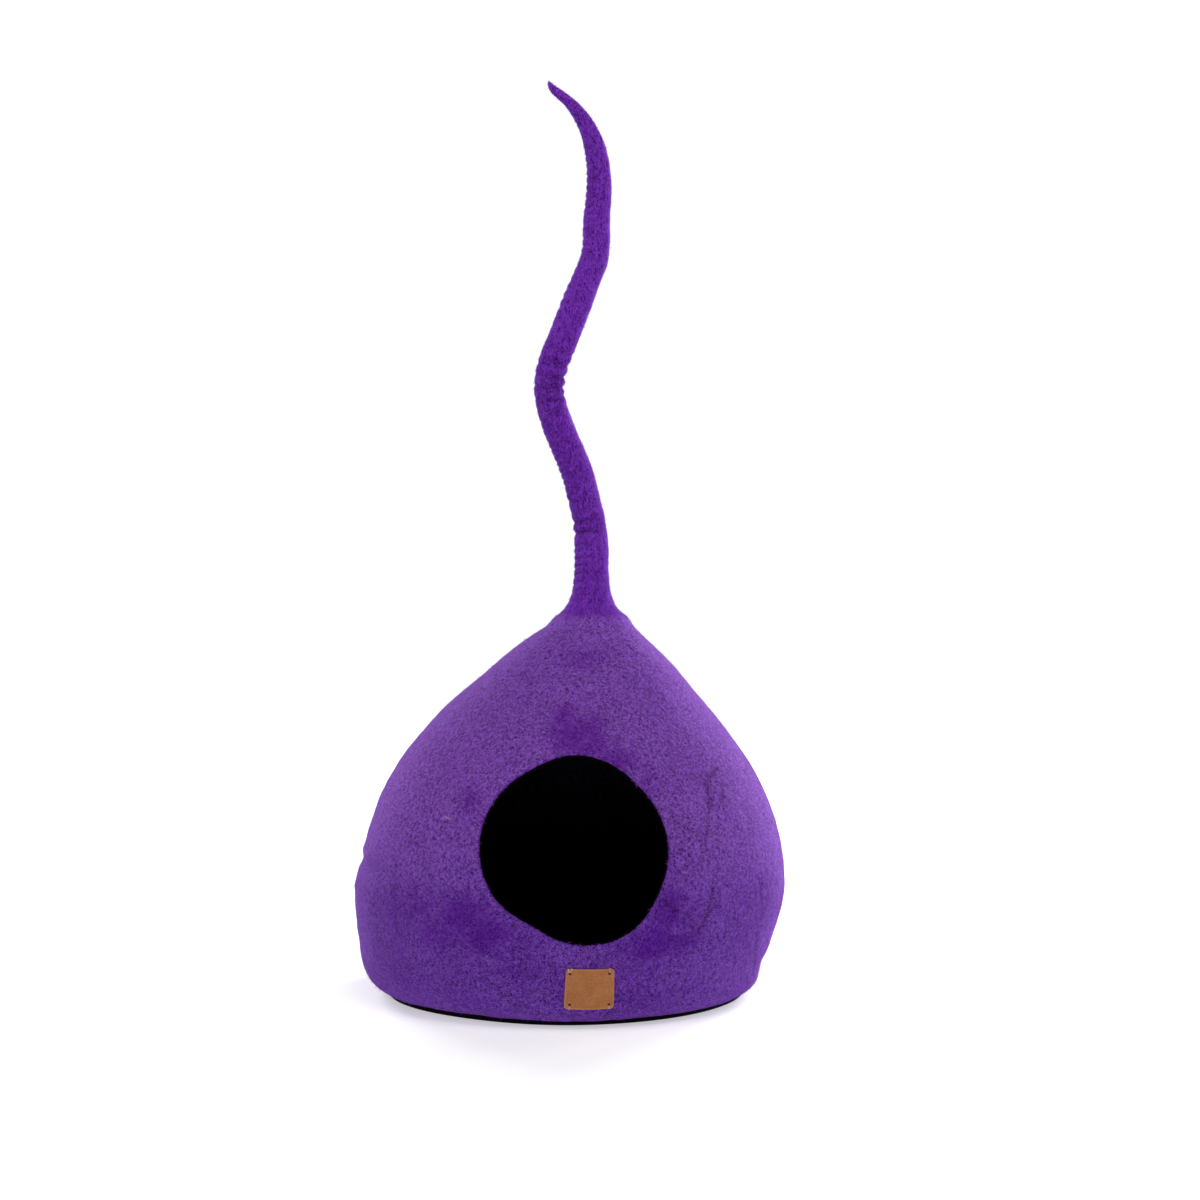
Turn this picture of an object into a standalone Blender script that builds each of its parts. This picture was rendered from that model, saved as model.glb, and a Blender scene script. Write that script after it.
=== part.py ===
"""A felt cat cave: a black felt pocket under a purple felt skin, with a long felt tail and a leather label.

Metres, +Z up. The origin is on the floor, below the middle of the body. The opening faces -Y.
"""

import math

import bmesh
import bpy
import numpy as np

# Layers of felt, and the clearance left between pieces that touch
GAP = 0.0003
SKIN_THICKNESS = 0.0020
POCKET_THICKNESS = 0.0060
SOLE_THICKNESS = 0.0070

# The sole's edge and the den's floor lie inside the outline of the skin's hem
SOLE_EDGE_INSET = 0.0080
SOLE_EDGE_BEVEL = 0.0030
FLOOR_CORNER = 0.0170

# How finely the pieces are faceted, and the step over which a slope is read
AROUND_BODY = 44
AROUND_TAIL = 12
AROUND_OPENING = 40
AROUND_HOLE = 12
CLOSEST_RINGS = 0.0013
SLOPE_STEP = 0.0010
TIP_REACH = 0.25
SMOOTH_BELOW = math.radians(40)


def table(columns, rows):
    """A table whose columns are read by name. Its first column is the one that a curve runs along."""
    return np.array(rows, dtype=[(name, float) for name in columns.split()])


# The outside of the body, from the skin's hem just above the floor to the flat top under the tail
BODY = table("height middle_x middle_y half_width half_depth", [
    (0.0050, -0.0035, 0.000, 0.1920, 0.1925),
    (0.0110, -0.0045, 0.000, 0.2015, 0.2010),
    (0.0210, -0.0055, 0.000, 0.2085, 0.2075),
    (0.0360, -0.0058, 0.000, 0.2135, 0.2130),
    (0.0560, -0.0042, 0.000, 0.2180, 0.2175),
    (0.0780, -0.0020, 0.000, 0.2230, 0.2215),
    (0.1000, 0.0000, 0.000, 0.2265, 0.2240),
    (0.1250, 0.0020, 0.000, 0.2255, 0.2230),
    (0.1530, 0.0040, 0.000, 0.2210, 0.2185),
    (0.1830, 0.0045, 0.001, 0.2130, 0.2105),
    (0.2130, 0.0045, 0.001, 0.2015, 0.1990),
    (0.2420, 0.0050, 0.002, 0.1855, 0.1830),
    (0.2710, 0.0060, 0.002, 0.1642, 0.1625),
    (0.3000, 0.0080, 0.003, 0.1390, 0.1375),
    (0.3240, 0.0115, 0.003, 0.1150, 0.1135),
    (0.3440, 0.0150, 0.003, 0.0950, 0.0935),
    (0.3610, 0.0170, 0.003, 0.0765, 0.0755),
    (0.3750, 0.0190, 0.003, 0.0595, 0.0590),
    (0.3860, 0.0222, 0.003, 0.0458, 0.0458),
    (0.3960, 0.0235, 0.003, 0.0365, 0.0365),
])
HEM = BODY["height"][0]
TOP = BODY["height"][-1]

# The rings that the body's faces are drawn through
ANGLES = np.linspace(0, 2 * np.pi, AROUND_BODY, endpoint=False)
RING_HEIGHTS = np.concatenate([
    [HEM, 0.0085],
    np.linspace(0.0130, 0.0400, 4),
    np.linspace(0.0560, 0.1560, 9),
    np.linspace(0.1750, 0.3350, 9),
    np.linspace(0.3500, 0.3840, 3),
    [TOP],
])

# Soft hollows (minus) and bulges (plus) left in the felt by hand: directions in degrees, 0 is +X and 90 is +Y
DENTS = table("direction height half_angle half_height depth", [
    (192, 0.141, 40, 0.012, -0.0030),
    (188, 0.116, 34, 0.014, 0.0015),
    (312, 0.224, 9, 0.036, -0.0022),
    (322, 0.222, 9, 0.034, 0.0014),
    (318, 0.112, 10, 0.026, -0.0020),
    (352, 0.030, 20, 0.022, -0.0030),
    (338, 0.018, 12, 0.014, 0.0016),
    (238, 0.005, 36, 0.040, -0.0045),
    (35, 0.160, 30, 0.040, -0.0030),
    (75, 0.080, 26, 0.035, 0.0022),
    (120, 0.210, 32, 0.040, -0.0026),
    (150, 0.075, 18, 0.030, -0.0024),
    (60, 0.270, 30, 0.030, 0.0018),
])

# The opening seen from the front, a slightly cornered circle: directions in degrees, 0 is right and 90 is up
OPENING_X = 0.0085
OPENING_HEIGHT = 0.1800
OPENING = table("direction reach", [
    (0, 0.0925),
    (30, 0.0870),
    (45, 0.0852),
    (60, 0.0860),
    (90, 0.0875),
    (120, 0.0860),
    (150, 0.0915),
    (180, 0.0957),
    (210, 0.0940),
    (240, 0.0866),
    (270, 0.0935),
    (300, 0.0985),
    (330, 0.0948),
    (360, 0.0925),
])
CUT_OUTWARDS = 0.0140
CUT_INWARDS = 0.0220
CUT_CROWN = 0.0400

# The tail's middle line and girth, from its splayed root to its tip
TAIL = table("height x y radius", [
    (0.3963, 0.0235, 0.003, 0.0345),
    (0.4020, 0.0235, 0.003, 0.0290),
    (0.4100, 0.0236, 0.003, 0.0245),
    (0.4200, 0.0237, 0.003, 0.0208),
    (0.4360, 0.0237, 0.004, 0.0186),
    (0.4770, 0.0232, 0.008, 0.0178),
    (0.4980, 0.0208, 0.010, 0.0170),
    (0.5190, 0.0158, 0.010, 0.0167),
    (0.5400, 0.0108, 0.009, 0.0165),
    (0.5610, 0.0036, 0.006, 0.0163),
    (0.5820, -0.0057, 0.002, 0.0161),
    (0.6030, -0.0136, -0.002, 0.0160),
    (0.6200, -0.0185, -0.005, 0.0158),
    (0.6340, -0.0203, -0.007, 0.0158),
    (0.6500, -0.0187, -0.009, 0.0160),
    (0.6660, -0.0145, -0.009, 0.0162),
    (0.6870, -0.0061, -0.008, 0.0158),
    (0.7080, 0.0020, -0.005, 0.0157),
    (0.7280, 0.0098, -0.002, 0.0156),
    (0.7490, 0.0180, 0.002, 0.0149),
    (0.7700, 0.0261, 0.006, 0.0148),
    (0.7850, 0.0285, 0.008, 0.0144),
    (0.8120, 0.0292, 0.010, 0.0139),
    (0.8450, 0.0317, 0.009, 0.0129),
    (0.8740, 0.0301, 0.006, 0.0119),
    (0.8950, 0.0250, 0.003, 0.0103),
    (0.9160, 0.0148, -0.001, 0.0080),
    (0.9340, 0.0000, -0.004, 0.0056),
    (0.9460, -0.0150, -0.006, 0.0033),
    (0.9525, -0.0215, -0.007, 0.0012),
])

# Creases across the tail where its bends squeeze it, each deepest in one direction and gone on the far side
CREASES = table("height direction depth half_height", [
    (0.4860, 180, 0.0014, 0.0036),
    (0.4950, 185, 0.0018, 0.0038),
    (0.5040, 180, 0.0012, 0.0036),
    (0.6245, 0, 0.0022, 0.0042),
    (0.6365, -5, 0.0030, 0.0046),
    (0.6480, 0, 0.0030, 0.0046),
    (0.6590, 5, 0.0022, 0.0042),
    (0.7830, 190, 0.0012, 0.0044),
])
CREASE_HALF_ANGLE = 110

# The leather label, bent to the front of the body below the opening
LABEL_WIDTH = 0.0500
LABEL_LENGTH = 0.0440
LABEL_THICKNESS = 0.0020
LABEL_X = 0.0224
LABEL_HEIGHT = 0.0427
LABEL_TURN = math.radians(-1.0)
LABEL_CORNER = 0.0035
LABEL_CORNER_POINTS = 4
LABEL_SIDE_POINTS = 5
LABEL_RINGS = (0.35, 0.7, 1.0)
HOLE_RADIUS = 0.0010
HOLE_INSET = 0.0056
HOLE_CUT = 0.0100


def smooth(rows, column, at):
    """Reads a column at the places given, on a smooth curve through the table's rows."""
    knots = rows[rows.dtype.names[0]]
    values = rows[column]
    slopes = np.gradient(values, knots)
    at = np.clip(np.asarray(at, float), knots[0], knots[-1])
    row = np.clip(np.searchsorted(knots, at, side="right") - 1, 0, len(knots) - 2)
    width = knots[row + 1] - knots[row]
    t = (at - knots[row]) / width
    rise = t * t * (3 - 2 * t)
    leaving = slopes[row] * width * t * (1 - t) ** 2
    arriving = slopes[row + 1] * width * t * t * (t - 1)
    return values[row] * (1 - rise) + values[row + 1] * rise + leaving + arriving


def hump(share):
    """1 in the middle of a fold and 0 at its edge, with no corner at either."""
    return 0.5 + 0.5 * np.cos(np.pi * np.minimum(share, 1))


def degrees_between(angle, direction):
    return np.abs((np.degrees(angle) - direction + 180) % 360 - 180)


def body_point(height, angle):
    """The outside of the body at a height and an angle, dents included."""
    swell = 0
    for dent in DENTS:
        across = degrees_between(angle, dent["direction"]) / dent["half_angle"]
        along = np.abs(height - dent["height"]) / dent["half_height"]
        swell = swell + dent["depth"] * hump(np.hypot(across, along))
    x = smooth(BODY, "middle_x", height) + (smooth(BODY, "half_width", height) + swell) * np.cos(angle)
    y = smooth(BODY, "middle_y", height) + (smooth(BODY, "half_depth", height) + swell) * np.sin(angle)
    return np.stack(np.broadcast_arrays(x, y, height), axis=-1)


def body_normal(height, angle):
    """The direction square to the felt, pointing out."""
    above = body_point(np.minimum(height + SLOPE_STEP, TOP), angle)
    below = body_point(np.maximum(height - SLOPE_STEP, HEM), angle)
    around = body_point(height, angle + SLOPE_STEP) - body_point(height, angle - SLOPE_STEP)
    normal = np.cross(around, above - below)
    return normal / np.linalg.norm(normal, axis=-1, keepdims=True)


def body_layer(height, angle, depth):
    """A point at a depth under the outside of the body, or above it where the depth is negative."""
    return body_point(height, angle) - depth * body_normal(height, angle)


def front_angle(height, x):
    """The angle at which the front of the body has this x."""
    across = (x - smooth(BODY, "middle_x", height)) / smooth(BODY, "half_width", height)
    return -np.arccos(across)


def new_material(name, color, roughness):
    material = bpy.data.materials.new(name)
    material.use_nodes = True
    shader = material.node_tree.nodes["Principled BSDF"]
    shader.inputs["Base Color"].default_value = (*color, 1)
    shader.inputs["Roughness"].default_value = roughness
    shader.inputs["Metallic"].default_value = 0
    return material


def add_object(name, bm, material=None):
    """Makes an object of a finished mesh, shaded smooth but for its edges."""
    mesh = bpy.data.meshes.new(name)
    bm.to_mesh(mesh)
    bm.free()
    mesh.shade_smooth()
    mesh.set_sharp_from_angle(angle=SMOOTH_BELOW)
    if material:
        mesh.materials.append(material)
    obj = bpy.data.objects.new(name, mesh)
    bpy.context.scene.collection.objects.link(obj)
    return obj


def loft(bm, rings, first_pole, last_pole, hollow=False):
    """Joins rings by quads and closes both ends by a fan to a pole. A hollow one faces inwards."""
    rings = [[bm.verts.new(point) for point in ring] for ring in rings]
    poles = [bm.verts.new(point) for point in (first_pole, last_pole)]
    count = len(rings[0])
    faces = []
    for i in range(count):
        j = (i + 1) % count
        for lower, upper in zip(rings, rings[1:]):
            faces.append(bm.faces.new((lower[i], lower[j], upper[j], upper[i])))
        faces.append(bm.faces.new((rings[0][j], rings[0][i], poles[0])))
        faces.append(bm.faces.new((rings[-1][i], rings[-1][j], poles[1])))
    bmesh.ops.recalc_face_normals(bm, faces=faces)
    if hollow:
        bmesh.ops.reverse_faces(bm, faces=faces)


def cut(obj, name, cutter):
    """Cuts a shape out of an object. The shape itself stays hidden."""
    cutter.hide_render = True
    cutter.display_type = "WIRE"
    modifier = obj.modifiers.new(name, "BOOLEAN")
    modifier.operation = "DIFFERENCE"
    modifier.object = cutter


def wall_rings(depth):
    """Rings of one face of the felt, from the hem to the top."""
    return [body_layer(height, ANGLES, depth) for height in RING_HEIGHTS]


def level_ring(height, inset):
    """A ring near the floor, inside the hem's outline by an inset."""
    ring = body_point(HEM, ANGLES)
    ring[:, 0] -= inset * np.cos(ANGLES)
    ring[:, 1] -= inset * np.sin(ANGLES)
    ring[:, 2] = height
    return ring


def top_pole(depth):
    return (BODY["middle_x"][-1], BODY["middle_y"][-1], TOP - depth)


def floor_pole(height):
    return (BODY["middle_x"][0], BODY["middle_y"][0], height)


def opening_cutter():
    """What is cut out for the opening. Its sides stand square to the felt all the way round."""
    directions = np.linspace(0, 360, AROUND_OPENING, endpoint=False)
    reach = smooth(OPENING, "reach", directions)
    x = OPENING_X + reach * np.cos(np.radians(directions))
    height = OPENING_HEIGHT + reach * np.sin(np.radians(directions))
    angle = front_angle(height, x)
    middle_angle = front_angle(OPENING_HEIGHT, OPENING_X)
    bm = bmesh.new()
    loft(
        bm,
        [body_layer(height, angle, -CUT_OUTWARDS), body_layer(height, angle, CUT_INWARDS)],
        body_layer(OPENING_HEIGHT, middle_angle, -CUT_CROWN),
        body_layer(OPENING_HEIGHT, middle_angle, CUT_CROWN),
    )
    return add_object("opening_cutter", bm)


def make_outer_felt(material, cutter):
    """The purple skin: a thin layer over the pocket, from the hem over the top."""
    bm = bmesh.new()
    rings = wall_rings(0)[::-1] + wall_rings(SKIN_THICKNESS)
    loft(bm, rings, top_pole(0), top_pole(SKIN_THICKNESS))
    cut(add_object("outer_felt", bm, material), "opening", cutter)


def make_inner_felt(material, cutter):
    """The black pocket: its wall, its rounded corner and its flat sole. The opening joins its two faces."""
    outer_depth = SKIN_THICKNESS + GAP
    inner_depth = outer_depth + POCKET_THICKNESS
    sole = [level_ring(0, SOLE_EDGE_INSET), level_ring(SOLE_EDGE_BEVEL, SOLE_EDGE_INSET - SOLE_EDGE_BEVEL)]
    floor = [level_ring(SOLE_THICKNESS, FLOOR_CORNER)]
    bm = bmesh.new()
    loft(bm, sole + wall_rings(outer_depth), floor_pole(0), top_pole(outer_depth))
    loft(bm, floor + wall_rings(inner_depth), floor_pole(SOLE_THICKNESS), top_pole(inner_depth), hollow=True)
    cut(add_object("inner_felt", bm, material), "opening", cutter)


def tail_heights():
    """Heights of the tail's rings: its table's rows, one between each two, and five across each crease."""
    rows = TAIL["height"]
    heights = [rows, (rows[:-1] + rows[1:]) / 2]
    for crease in CREASES:
        heights.append(crease["height"] + crease["half_height"] * np.linspace(-1, 1, 5))
    heights = np.sort(np.concatenate(heights))
    far_enough = np.diff(heights, prepend=0) > CLOSEST_RINGS
    return heights[far_enough]


def tail_ring(height, sides):
    """A ring square to the tail's middle line, drawn in at the creases."""
    middle = np.array([smooth(TAIL, "x", height), smooth(TAIL, "y", height), height])
    ahead = np.array([smooth(TAIL, "x", height + SLOPE_STEP), smooth(TAIL, "y", height + SLOPE_STEP)])
    level = height <= TAIL["height"][0]
    along = np.array([0, 0, 1]) if level else np.array([*(ahead - middle[:2]), SLOPE_STEP])
    along = along / np.linalg.norm(along)
    right = np.cross([0, 1, 0], along)
    right = right / np.linalg.norm(right)
    back = np.cross(along, right)
    radius = np.full(len(sides), smooth(TAIL, "radius", height))
    for crease in CREASES:
        across = degrees_between(sides, crease["direction"]) / CREASE_HALF_ANGLE
        nearness = abs(height - crease["height"]) / crease["half_height"]
        radius -= crease["depth"] * hump(across) * hump(nearness)
    spokes = np.outer(np.cos(sides), right) + np.outer(np.sin(sides), back)
    return middle, middle + radius[:, None] * spokes


def make_tail(material):
    """A felt rope with a splayed root, which sits on the flat top of the body."""
    sides = np.linspace(0, 2 * np.pi, AROUND_TAIL, endpoint=False)
    sections = [tail_ring(height, sides) for height in tail_heights()]
    root, tip = sections[0][0], sections[-1][0]
    beyond_tip = tip + (tip - sections[-2][0]) * TIP_REACH
    bm = bmesh.new()
    loft(bm, [ring for _, ring in sections], root, beyond_tip)
    add_object("tail", bm, material)


def label_point(across, up, depth):
    """A point across and up from the label's middle, bent to the body, at a depth under the felt's face."""
    x = LABEL_X + across * math.cos(LABEL_TURN) - up * math.sin(LABEL_TURN)
    rise = across * math.sin(LABEL_TURN) + up * math.cos(LABEL_TURN)
    lean = body_normal(LABEL_HEIGHT, front_angle(LABEL_HEIGHT, LABEL_X))[2]
    height = LABEL_HEIGHT + rise * math.sqrt(1 - lean * lean)
    return body_layer(height, front_angle(height, x), depth)


def rounded_outline():
    """The label's outline, across and up from its middle: an arc at each corner, points along each side."""
    middles = np.array([LABEL_WIDTH, LABEL_LENGTH]) / 2 - LABEL_CORNER
    arcs = []
    for quarter, side in enumerate([(1, 1), (-1, 1), (-1, -1), (1, -1)]):
        turns = np.radians(np.linspace(90 * quarter, 90 * quarter + 90, LABEL_CORNER_POINTS))
        arcs.append(middles * side + LABEL_CORNER * np.stack([np.cos(turns), np.sin(turns)], axis=-1))
    outline = []
    for arc, following in zip(arcs, arcs[1:] + arcs[:1]):
        outline += [arc, np.linspace(arc[-1], following[0], LABEL_SIDE_POINTS + 2)[1:-1]]
    return np.concatenate(outline)


def make_label(material):
    """A leather patch, bent to the wall, with a hole for the thread near each corner."""
    outline = rounded_outline()
    face = -(GAP + LABEL_THICKNESS)
    grown = [label_point(*(outline * share).T, face) for share in LABEL_RINGS]
    shrunk = [label_point(*(outline * share).T, -GAP) for share in LABEL_RINGS[::-1]]
    bm = bmesh.new()
    loft(bm, grown + shrunk, label_point(0, 0, face), label_point(0, 0, -GAP))
    label = add_object("label", bm, material)
    turns = np.linspace(0, 2 * np.pi, AROUND_HOLE, endpoint=False)
    bm = bmesh.new()
    for side in (-1, 1):
        for end in (-1, 1):
            across = side * (LABEL_WIDTH / 2 - HOLE_INSET)
            up = end * (LABEL_LENGTH / 2 - HOLE_INSET)
            x = across + HOLE_RADIUS * np.cos(turns)
            y = up + HOLE_RADIUS * np.sin(turns)
            rings = [label_point(x, y, depth) for depth in (-HOLE_CUT, HOLE_CUT)]
            loft(bm, rings, label_point(across, up, -HOLE_CUT), label_point(across, up, HOLE_CUT))
    cut(label, "thread_holes", add_object("thread_hole_cutter", bm))


def main():
    for obj in list(bpy.data.objects):
        bpy.data.objects.remove(obj)
    purple = new_material("purple_felt", (0.115, 0.036, 0.255), 0.95)
    tail_purple = new_material("tail_felt", (0.108, 0.018, 0.275), 0.95)
    black = new_material("black_felt", (0.008, 0.006, 0.009), 0.97)
    leather = new_material("leather", (0.355, 0.143, 0.060), 0.6)
    cutter = opening_cutter()
    make_outer_felt(purple, cutter)
    make_inner_felt(black, cutter)
    make_tail(tail_purple)
    make_label(leather)


main()
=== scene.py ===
import math

import bpy
import numpy as np
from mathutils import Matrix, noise


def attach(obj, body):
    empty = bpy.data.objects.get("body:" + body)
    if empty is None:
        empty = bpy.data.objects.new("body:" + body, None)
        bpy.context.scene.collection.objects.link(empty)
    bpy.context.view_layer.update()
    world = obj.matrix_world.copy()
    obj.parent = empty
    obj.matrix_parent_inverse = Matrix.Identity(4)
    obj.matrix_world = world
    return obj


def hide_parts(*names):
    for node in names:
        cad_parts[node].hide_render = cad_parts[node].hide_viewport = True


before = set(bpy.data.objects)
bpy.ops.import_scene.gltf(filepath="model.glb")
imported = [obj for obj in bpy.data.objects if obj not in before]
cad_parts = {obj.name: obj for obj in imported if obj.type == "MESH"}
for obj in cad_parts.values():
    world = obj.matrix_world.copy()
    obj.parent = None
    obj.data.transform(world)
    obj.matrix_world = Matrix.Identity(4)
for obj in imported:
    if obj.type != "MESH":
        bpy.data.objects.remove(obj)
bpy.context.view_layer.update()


# ------------------------------------------------------------------------------------------ The studio
# A white floor in a white room, lit softly from above, from both sides and from behind.
# The camera stands 2.8 m in front of the cave, 0.56 m above the floor, and looks 3 degrees down.

CAMERA_PLACE = (0.0327, -2.8, 0.56)
CAMERA_DOWN = math.radians(3)
FOCAL_LENGTH_OVER_WIDTH = 2657 / 1200
SENSOR_WIDTH = 36

ROOM_GLOW = 0.07
ROOM_SEEN = 1.03

# Each lamp's name, place, width and power
LAMPS = [
    ("lamp_left", (-2.2, -0.7, 1.4), 1.5, 4.0),
    ("lamp_above", (0.25, -0.85, 2.9), 1.4, 42.0),
    ("lamp_above_left", (-0.7, -1.4, 2.6), 1.4, 9.0),
    ("lamp_beside_right", (1.9, 1.15, 0.9), 0.9, 25.0),
    ("lamp_behind_right", (1.35, 2.0, 0.9), 0.9, 94.0),
    ("lamp_behind_left", (-1.35, 2.0, 0.9), 0.9, 58.0),
]
LAMPS_AIM_AT = (0, 0, 0.25)

# The floor's colours. Seen from far off, it fades into the white of the room
FLOOR_REACH = 30
FLOOR_DROP = 0.0002
FLOOR_GREY = (0.56, 0.55, 0.57, 1)
NEAR_GLOW, FAR_GLOW = (0.495, 0.485, 0.5, 1), (1.02, 1.02, 1.02, 1)
FAR_FROM, FAR_TO = 0.9, 2.4


class Wire:
    """A socket in a node tree. Arithmetic on wires adds Math nodes, and node() adds any other kind."""

    def __init__(self, tree, socket=None):
        self.tree = tree
        self.socket = socket

    def node(self, kind, inputs=None, output=0, **settings):
        """Adds a node: its settings first, then a value or a wire for each input, by name or number."""
        made = self.tree.nodes.new(kind)
        for name, value in settings.items():
            setattr(made, name, value)
        for name, value in (inputs or {}).items():
            if isinstance(value, Wire):
                self.tree.links.new(value.socket, made.inputs[name])
            else:
                made.inputs[name].default_value = value
        return Wire(self.tree, made.outputs[output] if made.outputs else None)

    def math(self, operation, *others):
        return self.node("ShaderNodeMath", dict(enumerate((self, *others))), operation=operation)

    def vector(self, operation, *others, output="Vector"):
        terms = dict(enumerate((self, *others)))
        return self.node("ShaderNodeVectorMath", terms, output, operation=operation)

    def scaled(self, share):
        return self.node("ShaderNodeVectorMath", {0: self, "Scale": share}, operation="SCALE")

    def __add__(self, other):
        return self.math("ADD", other)

    def __sub__(self, other):
        return self.math("SUBTRACT", other)

    def __rsub__(self, other):
        return self.node("ShaderNodeMath", {0: other, 1: self}, operation="SUBTRACT")

    def __mul__(self, other):
        return self.math("MULTIPLY", other)

    __radd__ = __add__
    __rmul__ = __mul__

    def rise(self, low, high):
        """0 up to low, 1 from high on, smooth between. Where high is the lower of the two, it falls."""
        limits = {"Value": self, "From Min": low, "From Max": high}
        return self.node("ShaderNodeMapRange", limits, interpolation_type="SMOOTHSTEP")

    def part(self, axis):
        return self.node("ShaderNodeSeparateXYZ", {0: self}, axis)

    def blend(self, first, second):
        """From one colour to another, by this wire's value."""
        return self.node("ShaderNodeMix", {0: self, 6: first, 7: second}, 2, data_type="RGBA")

    def noise(self, scale, detail=0, distortion=0, output=0):
        """A cloudy pattern over this place: its scale, how many finer ones lie on it, and how bent it is."""
        look = {"Vector": self, "Scale": scale, "Detail": detail, "Distortion": distortion}
        return self.node("ShaderNodeTexNoise", look, output)

    def bump(self, strength, distance):
        """The normal of a surface that has this height."""
        return self.node("ShaderNodeBump", {"Strength": strength, "Distance": distance, "Height": self})

    def place(self):
        """Where on its piece a spot of the material lies."""
        return self.node("ShaderNodeTexCoord", output="Object")

    def kept(self, name):
        """The number that a piece keeps under this name for each of its points."""
        return self.node("ShaderNodeAttribute", output="Fac", attribute_name=name)

    def seen(self):
        """1 for what the camera sees itself, 0 for what lights the cave."""
        return self.node("ShaderNodeLightPath", output="Is Camera Ray")


def put(name, data):
    """A lamp, lens or mesh as an object in the scene."""
    obj = bpy.data.objects.new(name, data)
    bpy.context.scene.collection.objects.link(obj)
    return obj


def make_room():
    room = bpy.data.worlds.new("white_room")
    room.use_nodes = True
    room.node_tree.nodes.clear()
    start = Wire(room.node_tree)
    strength = start.seen() * (ROOM_SEEN - ROOM_GLOW) + ROOM_GLOW
    light = start.node("ShaderNodeBackground", {"Color": (1, 1, 1, 1), "Strength": strength})
    start.node("ShaderNodeOutputWorld", {"Surface": light})
    bpy.context.scene.world = room


def make_lamp(name, place, size, power):
    lamp = bpy.data.lights.new(name, "AREA")
    lamp.shape = "DISK"
    lamp.size = size
    lamp.energy = power
    obj = put(name, lamp)
    obj.location = place
    aim = np.subtract(LAMPS_AIM_AT, place)
    obj.rotation_euler = (math.atan2(math.hypot(aim[0], aim[1]), -aim[2]), 0, math.atan2(-aim[0], aim[1]))


def make_camera():
    lens = bpy.data.cameras.new("camera")
    lens.sensor_width = SENSOR_WIDTH
    lens.lens = SENSOR_WIDTH * FOCAL_LENGTH_OVER_WIDTH
    camera = put("camera", lens)
    camera.location = CAMERA_PLACE
    camera.rotation_euler = (math.pi / 2 - CAMERA_DOWN, 0, 0)
    bpy.context.scene.camera = camera


def make_material(name):
    """An empty material, and the wire that its nodes start from."""
    material = bpy.data.materials.new(name)
    material.use_nodes = True
    material.node_tree.nodes.clear()
    return material, Wire(material.node_tree)


def dressed(material, look):
    """The material, its surface given this look."""
    start = Wire(material.node_tree)
    surface = start.node("ShaderNodeBsdfPrincipled", look)
    start.node("ShaderNodeOutputMaterial", {"Surface": surface})
    return material


def make_object(name, points, faces, material):
    """A smooth mesh of these points and faces, with its place in the mesh itself."""
    mesh = bpy.data.meshes.new(name)
    mesh.from_pydata([tuple(point) for point in points], [], [tuple(face) for face in faces])
    mesh.materials.append(material)
    mesh.shade_smooth()
    return put(name, mesh)


def make_floor():
    material, start = make_material("white_floor")
    far = start.place().vector("LENGTH", output="Value").rise(FAR_FROM, FAR_TO) * start.seen()
    dressed(material, {
        "Base Color": FLOOR_GREY, "Roughness": 0.7, "Emission Color": far.blend(NEAR_GLOW, FAR_GLOW),
        "Emission Strength": 1.0})
    low, high = -FLOOR_REACH, FLOOR_REACH
    corners = [(x, y, -FLOOR_DROP) for x, y in ((low, low), (high, low), (high, high), (low, high))]
    make_object("white_floor", corners, [(0, 1, 2, 3)], material)


make_camera()
make_room()
for row in LAMPS:
    make_lamp(*row)
make_floor()
bpy.context.scene.view_settings.view_transform = "Standard"


# ------------------------------------------------------------------------------------ The black pocket
# The inside of the cave: one hollow of thick black wool, wet-felted over a form, sole and wall in one.
# The round opening is cut through it with shears, so the cut edge shows black inside the purple one.

GAP = 0.0003
SKIN_THICKNESS = 0.002
POCKET_THICKNESS = 0.006
POCKET_OUTSIDE = SKIN_THICKNESS + GAP
POCKET_INSIDE = POCKET_OUTSIDE + POCKET_THICKNESS


def table(columns, rows):
    """A table whose columns are read by name. Its first column is the one that a curve runs along."""
    return np.array(rows, dtype=[(name, float) for name in columns.split()])


BODY = table("height middle_x middle_y half_width half_depth", [
    (0.005, -0.0035, 0, 0.192, 0.1925),
    (0.011, -0.0045, 0, 0.2015, 0.201),
    (0.021, -0.0055, 0, 0.2085, 0.2075),
    (0.036, -0.0058, 0, 0.2135, 0.213),
    (0.056, -0.0042, 0, 0.218, 0.2175),
    (0.078, -0.002, 0, 0.223, 0.2215),
    (0.1, 0, 0, 0.2265, 0.224),
    (0.125, 0.002, 0, 0.2255, 0.223),
    (0.153, 0.004, 0, 0.221, 0.2185),
    (0.183, 0.0045, 0.001, 0.213, 0.2105),
    (0.213, 0.0045, 0.001, 0.2015, 0.199),
    (0.242, 0.005, 0.002, 0.1855, 0.183),
    (0.271, 0.006, 0.002, 0.1642, 0.1625),
    (0.3, 0.008, 0.003, 0.139, 0.1375),
    (0.324, 0.0115, 0.003, 0.115, 0.1135),
    (0.344, 0.015, 0.003, 0.095, 0.0935),
    (0.361, 0.017, 0.003, 0.0765, 0.0755),
    (0.375, 0.019, 0.003, 0.0595, 0.059),
    (0.386, 0.0222, 0.003, 0.0458, 0.0458),
    (0.396, 0.0235, 0.003, 0.0365, 0.0365),
])
HEM = BODY["height"][0]
TOP = BODY["height"][-1]

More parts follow.
